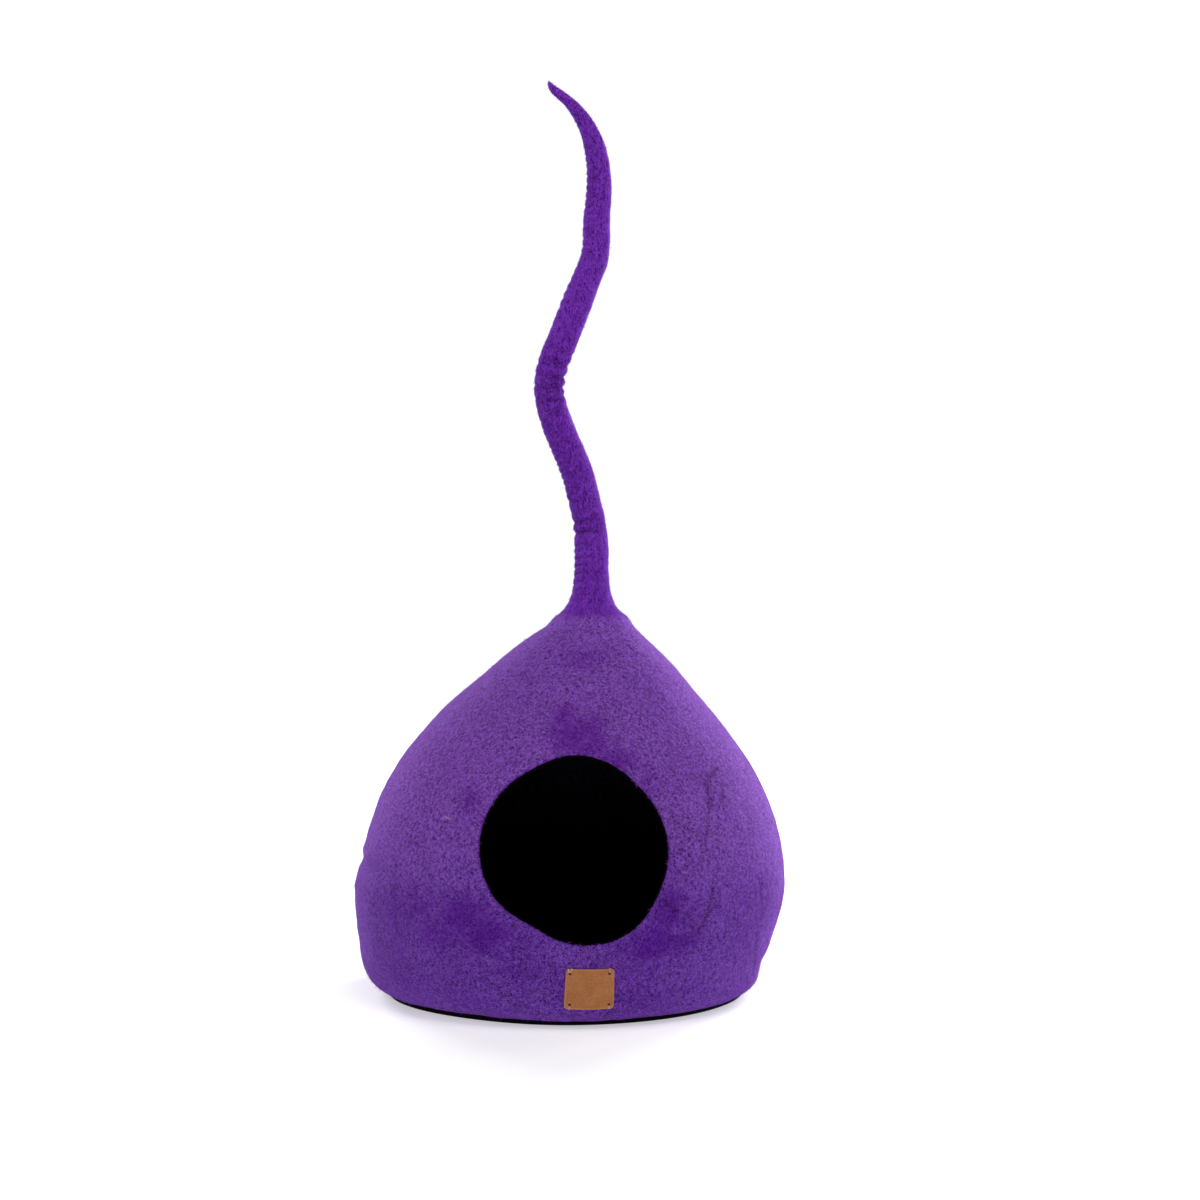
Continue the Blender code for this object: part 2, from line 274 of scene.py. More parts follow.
# Soft hollows (minus) and bulges (plus): directions in degrees, 0 is +X and 90 is +Y
DENTS = table("direction height half_angle half_height depth", [
    (192, 0.141, 40, 0.012, -0.003),
    (188, 0.116, 34, 0.014, 0.0015),
    (312, 0.224, 9, 0.036, -0.0022),
    (322, 0.222, 9, 0.034, 0.0014),
    (318, 0.112, 10, 0.026, -0.002),
    (352, 0.03, 20, 0.022, -0.003),
    (338, 0.018, 12, 0.014, 0.0016),
    (238, 0.005, 36, 0.04, -0.0045),
    (35, 0.16, 30, 0.04, -0.003),
    (75, 0.08, 26, 0.035, 0.0022),
    (120, 0.21, 32, 0.04, -0.0026),
    (150, 0.075, 18, 0.03, -0.0024),
    (60, 0.27, 30, 0.03, 0.0018),
])
SLOPE_STEP = 0.001

# The opening seen from the front: directions in degrees, 0 is right and 90 is up
OPENING_X = 0.0085
OPENING_HEIGHT = 0.18
OPENING = table("direction reach", [
    (0, 0.0925),
    (30, 0.087),
    (45, 0.0852),
    (60, 0.086),
    (90, 0.0875),
    (120, 0.086),
    (150, 0.0915),
    (180, 0.0957),
    (210, 0.094),
    (240, 0.0866),
    (270, 0.0935),
    (300, 0.0985),
    (330, 0.0948),
    (360, 0.0925),
])

# The sole lies inside the hem's outline: rings from the wall to the flat, and the den's floor
SOLE_EDGE = table("inset height", [
    (0.002, 0.0036),
    (0.0024, 0.0021),
    (0.0034, 0.0008),
    (0.005, 0.0001),
    (0.008, 0),
    (0.07, 0),
    (0.13, 0),
])
DEN_FLOOR = table("inset height", [
    (0.012, 0.0096),
    (0.015, 0.0076),
    (0.02, 0.007),
    (0.07, 0.007),
    (0.13, 0.007),
])
DEN_LEVEL = DEN_FLOOR["height"][-1]

# How the felt rolls over at the opening: how far outside the outline, and at what share of its thickness
CUT_EDGE = table("outset share", [
    (0.5, 0.06),
    (0.16, 0.22),
    (0, 0.5),
    (0.16, 0.78),
    (0.5, 0.94),
])
ROLL_START = 0.98
POCKET_ROLL = 0.0024

# The square of cells that the opening takes from the felt's grid, and where the grid is square again
GIRTH_RADIUS = 0.21
HOLE_HALF = 0.082
HOLE_BLEND = 1.9
FRONT_END = 4.02

# Layers of soft lumps: how strong, how wide, and their seed
POCKET_LUMPS = [(0.0006, 0.016, 3)]

# Black wool outside and in the den, each in its pits and on its crests. The outside, sole and cut edge
# included, is painted darker than the den's as painted shade
SHADED_OUTER_BLACK = (0.0015, 0.001, 0.0018, 1), (0.006, 0.0045, 0.007, 1)
DEN_BLACK = (0.012, 0.007, 0.014, 1), (0.05, 0.03, 0.058, 1)


def smooth(rows, column, at):
    """Reads a column at the places given, on a smooth curve through the table's rows."""
    knots = rows[rows.dtype.names[0]]
    values = rows[column]
    slopes = np.gradient(values, knots)
    at = np.clip(np.asarray(at, float), knots[0], knots[-1])
    row = np.clip(np.searchsorted(knots, at, side="right") - 1, 0, len(knots) - 2)
    width = knots[row + 1] - knots[row]
    t = (at - knots[row]) / width
    rise = t * t * (3 - 2 * t)
    leaving = slopes[row] * width * t * (1 - t) ** 2
    arriving = slopes[row + 1] * width * t * t * (t - 1)
    return values[row] * (1 - rise) + values[row + 1] * rise + leaving + arriving


def hump(share):
    """1 in the middle of a fold and 0 at its edge, with no corner at either."""
    return 0.5 + 0.5 * np.cos(np.pi * np.minimum(share, 1))


def faded(at, start, width):
    """1 up to the start, and smoothly down to 0 over this width."""
    return hump(np.clip((at - start) / width, 0, 1))


def degrees_between(angle, direction):
    return np.abs((np.degrees(angle) - direction + 180) % 360 - 180)


def evenly(fine, steps, count):
    """This many of the fine places, evenly spaced along a line whose steps between them are given."""
    along = np.concatenate([[0], np.cumsum(steps)])
    return np.interp(np.linspace(0, along[-1], count), along, fine)


def body_point(height, angle):
    """The outside of the body at a height and an angle, dents included."""
    swell = 0
    for direction, middle, half_angle, half_height, depth in DENTS:
        across = degrees_between(angle, direction) / half_angle
        swell = swell + depth * hump(np.hypot(across, np.abs(height - middle) / half_height))
    x = smooth(BODY, "middle_x", height) + (smooth(BODY, "half_width", height) + swell) * np.cos(angle)
    y = smooth(BODY, "middle_y", height) + (smooth(BODY, "half_depth", height) + swell) * np.sin(angle)
    return np.stack(np.broadcast_arrays(x, y, height), axis=-1)


def body_normal(height, angle):
    """The direction square to the felt, pointing out."""
    above = body_point(np.minimum(height + SLOPE_STEP, TOP), angle)
    below = body_point(np.maximum(height - SLOPE_STEP, HEM), angle)
    around = body_point(height, angle + SLOPE_STEP) - body_point(height, angle - SLOPE_STEP)
    normal = np.cross(around, above - below)
    return normal / np.linalg.norm(normal, axis=-1, keepdims=True)


def body_layer(height, angle, depth):
    """A point at a depth under the outside of the body, or above it where the depth is negative."""
    return body_point(height, angle) - np.asarray(depth)[..., None] * body_normal(height, angle)


def front_angle(height, x):
    """The angle at which the front of the body has this x."""
    across = (x - smooth(BODY, "middle_x", height)) / smooth(BODY, "half_width", height)
    return -np.arccos(across)


def lumpy(plain, points, layers):
    """A value made softly uneven over these points, by layers of lumps: their strength, width and seed."""
    for strength, width, seed in layers:
        lumps = np.array([noise.noise(place) for place in points.reshape(-1, 3) / width + seed])
        plain = plain + strength * lumps.reshape(points.shape[:-1])
    return plain


def level_ring(angles, inset, height):
    """A ring near the floor, inside the hem's outline by an inset."""
    ring = body_point(HEM, angles)
    ring[:, 0] -= inset * np.cos(angles)
    ring[:, 1] -= inset * np.sin(angles)
    ring[:, 2] = height
    return ring


OPENING_ANGLE = front_angle(OPENING_HEIGHT, OPENING_X)


class FeltGrid:
    """Angles and heights of a grid over the wall, whose cells run round the opening and leave it open."""

    def __init__(self, hole_cells, front_cells, back_cells, low_cells, high_cells, roll):
        inside = np.tan(np.linspace(-np.pi / 4, np.pi / 4, 2 * hole_cells + 1))
        front = np.linspace(1, FRONT_END, front_cells + 1)[1:]
        back = np.linspace(FRONT_END, np.pi * GIRTH_RADIUS / HOLE_HALF, back_cells + 1)[1:]
        side = np.concatenate([front, back])
        columns = np.concatenate([-side[:-1][::-1], inside, side])
        low = self.evenly_up(HEM, OPENING_HEIGHT - HOLE_HALF, low_cells)[:-1]
        high = self.evenly_up(OPENING_HEIGHT + HOLE_HALF, TOP, high_cells)[1:]
        rows = np.concatenate([low, OPENING_HEIGHT + HOLE_HALF * inside, high])
        across, up = np.meshgrid(columns, (rows - OPENING_HEIGHT) / HOLE_HALF, indexing="ij")
        away = np.maximum(np.abs(across), np.abs(up))
        self.first_column, self.last_column = len(side) - 1, len(side) - 1 + 2 * hole_cells
        self.first_row, self.last_row = low_cells, low_cells + 2 * hole_cells
        roundness = faded(away, 1, HOLE_BLEND - 1)
        direction = np.arctan2(up, across)
        reach = self.rim_reach(direction) + (away - 1) * HOLE_HALF + roll * ROLL_START
        across = across * HOLE_HALF * (1 - roundness) + roundness * reach * np.cos(direction)
        up = up * HOLE_HALF * (1 - roundness) + roundness * reach * np.sin(direction)
        self.angle = OPENING_ANGLE + across / GIRTH_RADIUS
        self.height = np.clip(OPENING_HEIGHT + up, HEM, TOP)
        self.rim_direction = direction[self.rim()]
        self.roll = roll

    @staticmethod
    def evenly_up(start, end, cells):
        """Heights from start to end, evenly spaced along the wall."""
        fine = np.linspace(start, end, 400)
        steps = np.hypot(np.diff(smooth(BODY, "half_width", fine)), np.diff(fine))
        return evenly(fine, steps, cells + 1)

    @staticmethod
    def rim_reach(direction):
        """How far the cut lies from the opening's middle over the wall, in a direction seen on the wall."""
        around = np.linspace(0, 360, 721)
        reach = smooth(OPENING, "reach", around)
        height = OPENING_HEIGHT + reach * np.sin(np.radians(around))
        x = OPENING_X + reach * np.cos(np.radians(around))
        across = (front_angle(height, x) - OPENING_ANGLE) * GIRTH_RADIUS
        up = height - OPENING_HEIGHT
        return np.interp(direction, np.arctan2(up, across), np.hypot(across, up), period=2 * np.pi)

    def rim(self):
        """Columns and rows of the cells' corners round the opening, counterclockwise from outside."""
        c0, c1, r0, r1 = self.first_column, self.last_column, self.first_row, self.last_row
        sides = [(c, r0) for c in range(c0, c1)] + [(c1, r) for r in range(r0, r1)]
        sides += [(c, r1) for c in range(c1, c0, -1)] + [(c0, r) for r in range(r1, r0, -1)]
        return tuple(np.array(sides).T)

    def cells(self):
        """The four corners of each cell that is left, as columns and rows."""
        count, rows = self.angle.shape
        c, r = np.meshgrid(np.arange(count), np.arange(rows - 1), indexing="ij")
        in_columns = (c >= self.first_column) & (c < self.last_column)
        keep = ~(in_columns & (r >= self.first_row) & (r < self.last_row))
        c, r = c[keep], r[keep]
        right = (c + 1) % count
        return np.stack([c, right, right, c]), np.stack([r, r, r + 1, r + 1])

    def edge_ring(self, outset, depth):
        """A ring of the cut edge, outside the opening's outline by an outset and at a depth in the felt."""
        reach = self.rim_reach(self.rim_direction) + outset
        angle = OPENING_ANGLE + reach * np.cos(self.rim_direction) / GIRTH_RADIUS
        height = OPENING_HEIGHT + reach * np.sin(self.rim_direction)
        return body_layer(height, angle, depth)


class Shell:
    """The points and faces of one closed piece, gathered band by band."""

    def __init__(self):
        self.points = []
        self.faces = []
        self.count = 0

    def add(self, points):
        """Takes up these points, and gives back their numbers in the same order."""
        points = np.asarray(points, float)
        made = self.count + np.arange(points[..., 0].size).reshape(points.shape[:-1])
        self.points.append(points.reshape(-1, 3))
        self.count += made.size
        return made

    def grid(self, felt, points, inwards=False):
        corners = points[felt.cells()]
        self.faces.extend((corners[::-1] if inwards else corners).T)

    def band(self, rings):
        """Quads between each ring and the next, facing out where the rings turn left as seen from there."""
        for first, second in zip(rings, rings[1:]):
            ahead, beyond = np.roll(first, -1), np.roll(second, -1)
            self.faces.extend(np.stack([first, ahead, beyond, second]).T)

    def fan(self, ring, pole):
        self.faces.extend(np.stack([ring, np.roll(ring, -1), np.full_like(ring, pole)]).T)

    def mark(self, numbers, value=1, others=0):
        """One value for the points with these numbers, and another for all others."""
        values = np.full(self.count, others, float)
        values[numbers] = value
        return values

    def all_points(self):
        return np.concatenate(self.points)

    def piece(self, name, material):
        return make_object(name, self.all_points(), self.faces, material)


def felt_wall(felt, outer, inner, depth, thickness):
    """A layer of felt round the opening: its shell, its outer and inner points, and its rolled cut edge."""
    shell = Shell()
    outside, inside = shell.add(outer), shell.add(inner)
    shell.grid(felt, outside)
    shell.grid(felt, inside, inwards=True)
    rolled = []
    for outset, share in CUT_EDGE:
        rolled.append(shell.add(felt.edge_ring(outset * felt.roll, depth + share * thickness)))
    shell.band([outside[felt.rim()], *rolled, inside[felt.rim()]])
    return shell, outside, inside, rolled


def top_pole(depth):
    return (BODY["middle_x"][-1], BODY["middle_y"][-1], TOP - depth)


def floor_pole(height):
    return (BODY["middle_x"][0], BODY["middle_y"][0], height)


def black_wool():
    """Black wool: matted short fibres, hardly lighter on their crests than in the pits between them, a faint
    painted shade. Outside the den, on the sole and cut edge, it is painted darker still as painted shade.
    """
    material, start = make_material("black_wool")
    place = start.place()
    matted = place.noise(160, 2, 1.5) * 0.6 + place.noise(900, 1) * 0.4
    crests = matted.rise(0.35, 0.7)
    # Painted shade: the den takes the lighter black, the rest of the pocket the darker one
    color = start.kept("inner").blend(crests.blend(*SHADED_OUTER_BLACK), crests.blend(*DEN_BLACK))
    return dressed(material, {
        "Base Color": color, "Roughness": 0.95, "Normal": matted.bump(0.5, 0.0006),
        "Specular IOR Level": 0.04})


def keep(obj, name, values):
    """Keeps a number for each point of a piece, for its material and its fibres."""
    made = obj.data.attributes.new(name, "FLOAT", "POINT")
    made.data.foreach_set("value", np.asarray(values, np.float32).ravel())


def hand_in(piece, node):
    """Hides the model's part for the node that a piece stands for, and makes the piece ride on the one body.
    """
    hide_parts(node)
    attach(piece, "root")
    return piece


def make_pocket():
    felt = FeltGrid(
        hole_cells=16, front_cells=26, back_cells=26, low_cells=12, high_cells=20, roll=POCKET_ROLL)
    outer = body_layer(felt.height, felt.angle, POCKET_OUTSIDE)
    inner = body_layer(felt.height, felt.angle, POCKET_INSIDE)
    inner += lumpy(0, inner, POCKET_LUMPS)[..., None] * body_normal(felt.height, felt.angle)
    shell, outside, inside, rolled = felt_wall(felt, outer, inner, POCKET_OUTSIDE, POCKET_THICKNESS)
    around = felt.angle[:, 0]
    sole, floor = ([shell.add(level_ring(around, *row)) for row in rows] for rows in (SOLE_EDGE, DEN_FLOOR))
    poles = [floor_pole(0), floor_pole(DEN_LEVEL), top_pole(POCKET_OUTSIDE), top_pole(POCKET_INSIDE)]
    sole_middle, floor_middle, top, inner_top = shell.add(poles)
    shell.band([ring[::-1] for ring in [outside[:, 0], *sole]])
    shell.fan(sole[-1][::-1], sole_middle)
    shell.fan(outside[:, -1], top)
    shell.band([inside[:, 0], *floor])
    shell.fan(floor[-1], floor_middle)
    shell.fan(inside[:, -1][::-1], inner_top)
    pocket = shell.piece("black_pocket", black_wool())
    # The den's points take the lighter black; the sole, outside and cut edge keep the darker black of painted
    # shade
    in_den = shell.mark(inside)
    in_den[inside[felt.rim()]] = 0
    in_den[np.concatenate(floor)] = 1
    keep(pocket, "inner", in_den)
    keep(pocket, "fuzz", shell.mark(np.concatenate(rolled)))
    return hand_in(pocket, "inner_felt")


pocket = make_pocket()


# ------------------------------------------------------------------------------------- The purple skin
# Heather-purple wool, laid over the black wool and felted into it from the hem to the top.
# Violet tufts show darker round the opening and low on the wall, and a few creases are left at its right.

SKIN_ROLL = 0.0016
SKIN_LUMPS = [(0.0006, 0.034, 11), (0.0005, 0.013, 5), (0.00016, 0.0065, 23)]
NECK_SMOOTH, NECK_FADE = 0.366, 0.012
HEM_TURN = 0.0005

# Where the hem was trimmed a little higher: directions in degrees, how much higher, and how far up it fades
HEM_TRIM = table("direction half_angle higher fade", [
    (-122, 42, 0.0013, 0.016),
    (-62, 26, 0.0005, 0.016),
])

# Fine creases: directions in degrees and heights of both ends, half the width of the trough, and its depth.
# The deeper a crease, the darker the painted shade along it and the sharper it shows
CREASES = table("from_direction from_height to_direction to_height half_width depth", [
    (-37.2, 0.2463, -45.2, 0.2338, 0.0045, 0.0011),
    (-44.6, 0.23, -47, 0.2095, 0.0045, 0.0009),
    (-47, 0.2095, -50, 0.1915, 0.0045, 0.0007),
    (-50.6, 0.188, -52.8, 0.1711, 0.0045, 0.0006),
    (-36, 0.2393, -41.2, 0.2158, 0.0042, 0.0006),
    (-50.5, 0.1369, -52.1, 0.1117, 0.006, 0.0009),
    (-52.1, 0.1117, -54.6, 0.0926, 0.005, 0.0009),
    (-66, 0.1282, -62.3, 0.1183, 0.004, 0.0006),
    (-62.3, 0.1183, -58.3, 0.1101, 0.0035, 0.0005),
    (-92.3, 0.0718, -91.4, 0.0472, 0.004, 0.0006),
    (-31.3, 0.134, -28.8, 0.095, 0.006, 0.0006),
    (-29, 0.076, -20.5, 0.023, 0.006, 0.0006),
    (18, 0.22, 24, 0.18, 0.006, 0.0006),
    (108, 0.15, 101, 0.115, 0.006, 0.0005),
    (160, 0.24, 152, 0.205, 0.0055, 0.0005),
])
CREASE_SHADE = 600
CREASE_BUMP = 1100
# How deep the skin sinks for the painted shade in its hollows to be full
HOLLOW_SHADE_DEPTH = 0.0022

# Loose fibres, in three strewings: how many on a square metre, length, half width, greatest lift, and curl
FIBRE_SIZES = ("Density", "Length", "Half Width", "Lift", "Curl")
SKIN_FIBRES = [
    (38000, 0.0068, 0.00014, 0.55, 0.005),
    (38000, 0.0054, 0.00016, 0.75, 0.0045),
    (24000, 0.006, 0.00011, 1.4, 0.0046),
]
EDGE_FIBRES = (600000, 0.0042, 0.00012, 1.2, 0.0036)

# A single fibre: its length against its strewing's, how few have an end raised, and how it waves
SHORTEST, LONGEST = 0.55, 1.3
FEW_RAISED = 5.0
WAVES, WAVES_APART, WAVES_FLATTENED = 260.0, 40.0, 0.8
FIBRE_OFF = 0.00025
FIBRE_POINTS = 6

# Tufts of violet wool: direction and height of the middle, reach around and up the wall, and strength
TUFTS = table("direction height around up strength", [
    (-94.5, 0.295, 0.024, 0.032, 0.75),
    (-90.5, 0.284, 0.032, 0.034, 0.8),
    (-83, 0.288, 0.02, 0.028, 0.7),
    (-84, 0.274, 0.036, 0.02, 0.75),
    (-75.5, 0.261, 0.03, 0.021, 0.8),
    (-66.8, 0.2405, 0.018, 0.022, 0.5),
    (-65, 0.17, 0.016, 0.05, 0.6),
    (-64, 0.115, 0.03, 0.044, 0.9),
    (-66.5, 0.085, 0.05, 0.03, 1),
    (-57.5, 0.086, 0.032, 0.022, 0.7),
    (-117.5, 0.1125, 0.048, 0.032, 0.9),
    (-111.5, 0.0943, 0.044, 0.03, 0.9),
    (-124, 0.09, 0.054, 0.03, 0.7),
    (-132, 0.115, 0.06, 0.03, 0.6),
    (-120.7, 0.2195, 0.022, 0.02, 0.6),
    (-90.2, 0.356, 0.05, 0.016, 0.5),
    (-100, 0.06, 0.05, 0.02, 0.6),
    (-82, 0.035, 0.06, 0.02, 0.6),
    (-10, 0.09, 0.06, 0.04, 0.6),
    (30, 0.23, 0.06, 0.038, 0.5),
    (75, 0.12, 0.074, 0.04, 0.6),
    (100, 0.26, 0.056, 0.04, 0.5),
    (140, 0.15, 0.07, 0.05, 0.5),
    (175, 0.08, 0.07, 0.04, 0.6),
])
TUFT_SPREAD = 0.75
TUFT_EDGES = [(0.5, 0.01, 31), (0.35, 0.004, 37)]
VIOLET_CLOUDS = [(0.3, 0.055, 41)]
VIOLET_LOW = 0.35
VIOLET_FROM, VIOLET_TO = 0.175, 0.105
SKIN_EDGE_VIOLET = 0.6

HEATHER, VIOLET = (0.084, 0.016, 0.235, 1), (0.106, 0.006, 0.29, 1)
PALE_HEATHER, PALE_VIOLET = (0.43, 0.155, 0.83, 1), (0.22, 0.036, 0.52, 1)
DEEP_HEATHER, DEEP_VIOLET = (0.014, 0.002, 0.052, 1), (0.026, 0.001, 0.082, 1)
SKIN_GLOW = (0.54, 0.2, 1, 1)
FIBRE_GLOW = (0.6, 0.26, 1, 1)
PINK = (0.52, 0.25, 0.6, 1)

# A bluer, slightly darker tint over the wool low on the wall, and where it begins and is full
LOW_TINT = (0.84, 0.84, 1, 1)
LOW_FROM, LOW_FULL = 0.22, 0.08

# The felt's own pattern: how it is drawn out for broad clouds and for the upright streaks at both sides,
# how fine its grain is, and the size, seed and width of three layers of curled fibres
BROAD_LIE, STREAK_LIE = (22, 22, 85), (95, 95, 13)
SIDES_FROM, SIDES_FULL = 0.11, 0.2
GRAIN = 1300
UPPER_STRANDS, MIDDLE_STRANDS, LOWER_STRANDS = (0.002, 1, 0.095), (0.0016, 2, 0.105), (0.0014, 3, 0.12)
STRANDS_SHIFT = (0.137, 0.071, 0.193)


def crease_ends():
    """Each crease's ends on the wall, its half width and its depth."""
    for from_direction, from_height, to_direction, to_height, half_width, depth in CREASES:
        start = body_point(from_height, np.radians(from_direction))
        yield start, body_point(to_height, np.radians(to_direction)), half_width, depth


def skin_relief(points):
    """How far the skin stands off its plain form: soft lumps everywhere, and the creases."""
    relief = lumpy(0, points, SKIN_LUMPS)
    for start, end, half_width, depth in crease_ends():
        way = end - start
        along = np.clip((points - start) @ way / (way @ way), 0, 1)
        distance = np.linalg.norm(points - start - along[..., None] * way, axis=-1)
        relief -= depth * hump(distance / half_width)
    return relief


def violet_share(points, height, angle):
    """How much violet wool lies in the heather here, from 0 to 1."""
    ragged = lumpy(1, points, TUFT_EDGES)
    share = VIOLET_LOW * (1 - faded(height, VIOLET_FROM, VIOLET_TO - VIOLET_FROM))
    share = np.clip(lumpy(share, points, VIOLET_CLOUDS), 0, 1)
    for direction, middle, around, up, strength in TUFTS:
        across = degrees_between(angle, direction) * np.pi / 180 * smooth(BODY, "half_width", height)
        away = np.hypot(across / around, (height - middle) / up) * ragged
        share = np.maximum(share, strength * hump(away * TUFT_SPREAD))
    return share


def strands(place, size, seed, width):
    """Curled fibres lying every way: broken thin lines where a soft noise crosses its middle value."""
    moved = place.vector("ADD", [seed * shift for shift in STRANDS_SHIFT])
    level = moved.noise(1 / size, 1, 0.6) - 0.5
    broken = moved.noise(0.55 / size, output="Color").part("Y")
    return level.math("ABSOLUTE").rise(width, 0) * broken.rise(0.42, 0.56)


def felted_wool(name, violet, pale_violet, glow, creases=(), stretch=(1, 1, 1), pits=1.0):
    """Matted wool: curled pale fibres over a darker ground with pits, dyed as the "violet" number says. Its
    creases and hollows are darkened with painted shade, and its pits partly so.
    """
    material, start = make_material(name)
    place = start.place()
    lie = place.vector("MULTIPLY", stretch)
    cloudy = place.noise(62, 2)
    broad = place.vector("MULTIPLY", BROAD_LIE).noise(1, 2, 0.4)
    streaks = place.vector("MULTIPLY", STREAK_LIE).noise(1, 1)
    beside = place.part("X").math("ABSOLUTE").rise(SIDES_FROM, SIDES_FULL)
    grain = lie.noise(GRAIN, 0, 0.3)
    upper, middle, lower = (strands(lie, *row) for row in (UPPER_STRANDS, MIDDLE_STRANDS, LOWER_STRANDS))
    ragged = place.noise(190, 2, 0.8)
    dyed = (start.kept("violet") + (cloudy - 0.5) * 0.4 + (ragged - 0.5) * 0.8).rise(0.02, 0.98)
    pale = dyed.blend(PALE_HEATHER, pale_violet)
    deep = dyed.blend(DEEP_HEATHER, DEEP_VIOLET)
    color = dyed.blend(HEATHER, violet)
    for share, wool in [
            (cloudy.rise(0.62, 0.36) * 0.06 + broad.rise(0.62, 0.38) * 0.12, deep),
            (streaks.rise(0.60, 0.42) * beside * 0.30, deep),
            # Dark grain and lower strands lie low in the bump: darker fibres, with painted shade in these
            # pits
            (grain.rise(0.49, 0.39) * (0.95 * pits), deep),
            (grain.rise(0.54, 0.62) * 0.85, pale),
            (lower * (0.45 * pits), deep),
            (middle * 0.60, pale),
            (upper * 0.75, pale),
            # Painted shade in the hollows and wrinkles
            (start.kept("hollow_shade") * 0.62, deep)]:
        color = share.blend(color, wool)
    color = color.vector("MULTIPLY", place.part("Z").rise(LOW_FROM, LOW_FULL).blend((1, 1, 1, 1), LOW_TINT))
    height = grain * 0.9 + upper * 0.6 + middle * 0.5 - lower * 0.6
    for first, last, width, depth in creases:
        way = last - first
        from_start = place.vector("SUBTRACT", tuple(first))
        along = from_start.vector("DOT_PRODUCT", tuple(way / (way @ way)), output="Value")
        nearest = along.math("MAXIMUM", 0.0).math("MINIMUM", 1.0).vector("MULTIPLY", tuple(way))
        distance = from_start.vector("DISTANCE", nearest, output="Value")
        distance = distance + (grain - 0.5) * 0.003 + (cloudy - 0.5) * 0.006
        # Painted shade along the crease, then its trough in the bump
        color = (distance.rise(width, 0) * (CREASE_SHADE * depth)).blend(color, deep)
        height = height - distance.rise(width * 0.5, 0) * (CREASE_BUMP * depth)
    return dressed(material, {
        "Base Color": color, "Roughness": 0.95, "Normal": height.bump(0.8, 0.0006),
        "Specular IOR Level": 0.06, "Sheen Weight": 0.9, "Sheen Roughness": 0.22, "Sheen Tint": glow})


def trimmed(points, height, angle):
    """These points of the skin, raised where the hem was trimmed higher."""
    for direction, half_angle, higher, fade in HEM_TRIM:
        near = hump(degrees_between(angle, direction) / half_angle)
        points[..., 2] += higher * near * faded(height, HEM, fade)
    return points


def make_skin():
    felt = FeltGrid(
        hole_cells=28, front_cells=72, back_cells=52, low_cells=30, high_cells=54, roll=SKIN_ROLL)
    where = felt.height, felt.angle
    plain = body_point(*where)
    relief = skin_relief(plain) * faded(felt.height, NECK_SMOOTH, NECK_FADE)
    outer = trimmed(plain + relief[..., None] * body_normal(*where), *where)
    inner = trimmed(body_layer(*where, SKIN_THICKNESS), *where)
    shell, outside, inside, rolled = felt_wall(felt, outer, inner, 0, SKIN_THICKNESS)
    hem = HEM, felt.angle[:, 0]
    turned = shell.add(trimmed(body_layer(*hem, SKIN_THICKNESS / 2) - (0, 0, HEM_TURN), *hem))
    shell.band([ring[::-1] for ring in (outside[:, 0], turned, inside[:, 0])])
    top, inner_top = shell.add([top_pole(0), top_pole(SKIN_THICKNESS)])
    shell.fan(outside[:, -1], top)
    shell.fan(inside[:, -1][::-1], inner_top)
    wool = felted_wool("heather_wool", VIOLET, PALE_VIOLET, SKIN_GLOW, list(crease_ends()))
    skin = shell.piece("purple_skin", wool)
    keep(skin, "violet", shell.mark(outside, violet_share(outer, *where), SKIN_EDGE_VIOLET))
    keep(skin, "fuzz", shell.mark(np.concatenate([outside.ravel(), *rolled[:3]])))
    # Painted shade for the skin's hollows and creases, fuller as the relief sinks
    keep(skin, "hollow_shade", shell.mark(outside, np.clip(-relief / HOLLOW_SHADE_DEPTH - 0.10, 0, 1)))
    return hand_in(skin, "outer_felt")


def start_tree(name, inputs, output):
    """An empty Geometry Nodes tree, and a wire from each of its inputs, given by name and kind."""
    tree = bpy.data.node_groups.new(name, "GeometryNodeTree")
    for label, kind in inputs.items():
        tree.interface.new_socket(label, in_out="INPUT", socket_type="NodeSocket" + kind)
    tree.interface.new_socket(output, in_out="OUTPUT", socket_type="NodeSocketGeometry")
    given = tree.nodes.new("NodeGroupInput")
    return tree, {socket.name: Wire(tree, socket) for socket in given.outputs if socket.name}


def end_tree(tree, made, material):
    """Gives back the tree, once what it makes is real mesh of this material."""
    made = made.node("GeometryNodeRealizeInstances", {"Geometry": made})
    made = made.node("GeometryNodeSetMaterial", {"Geometry": made, "Material": material})
    made.node("NodeGroupOutput", {0: made})
    return tree


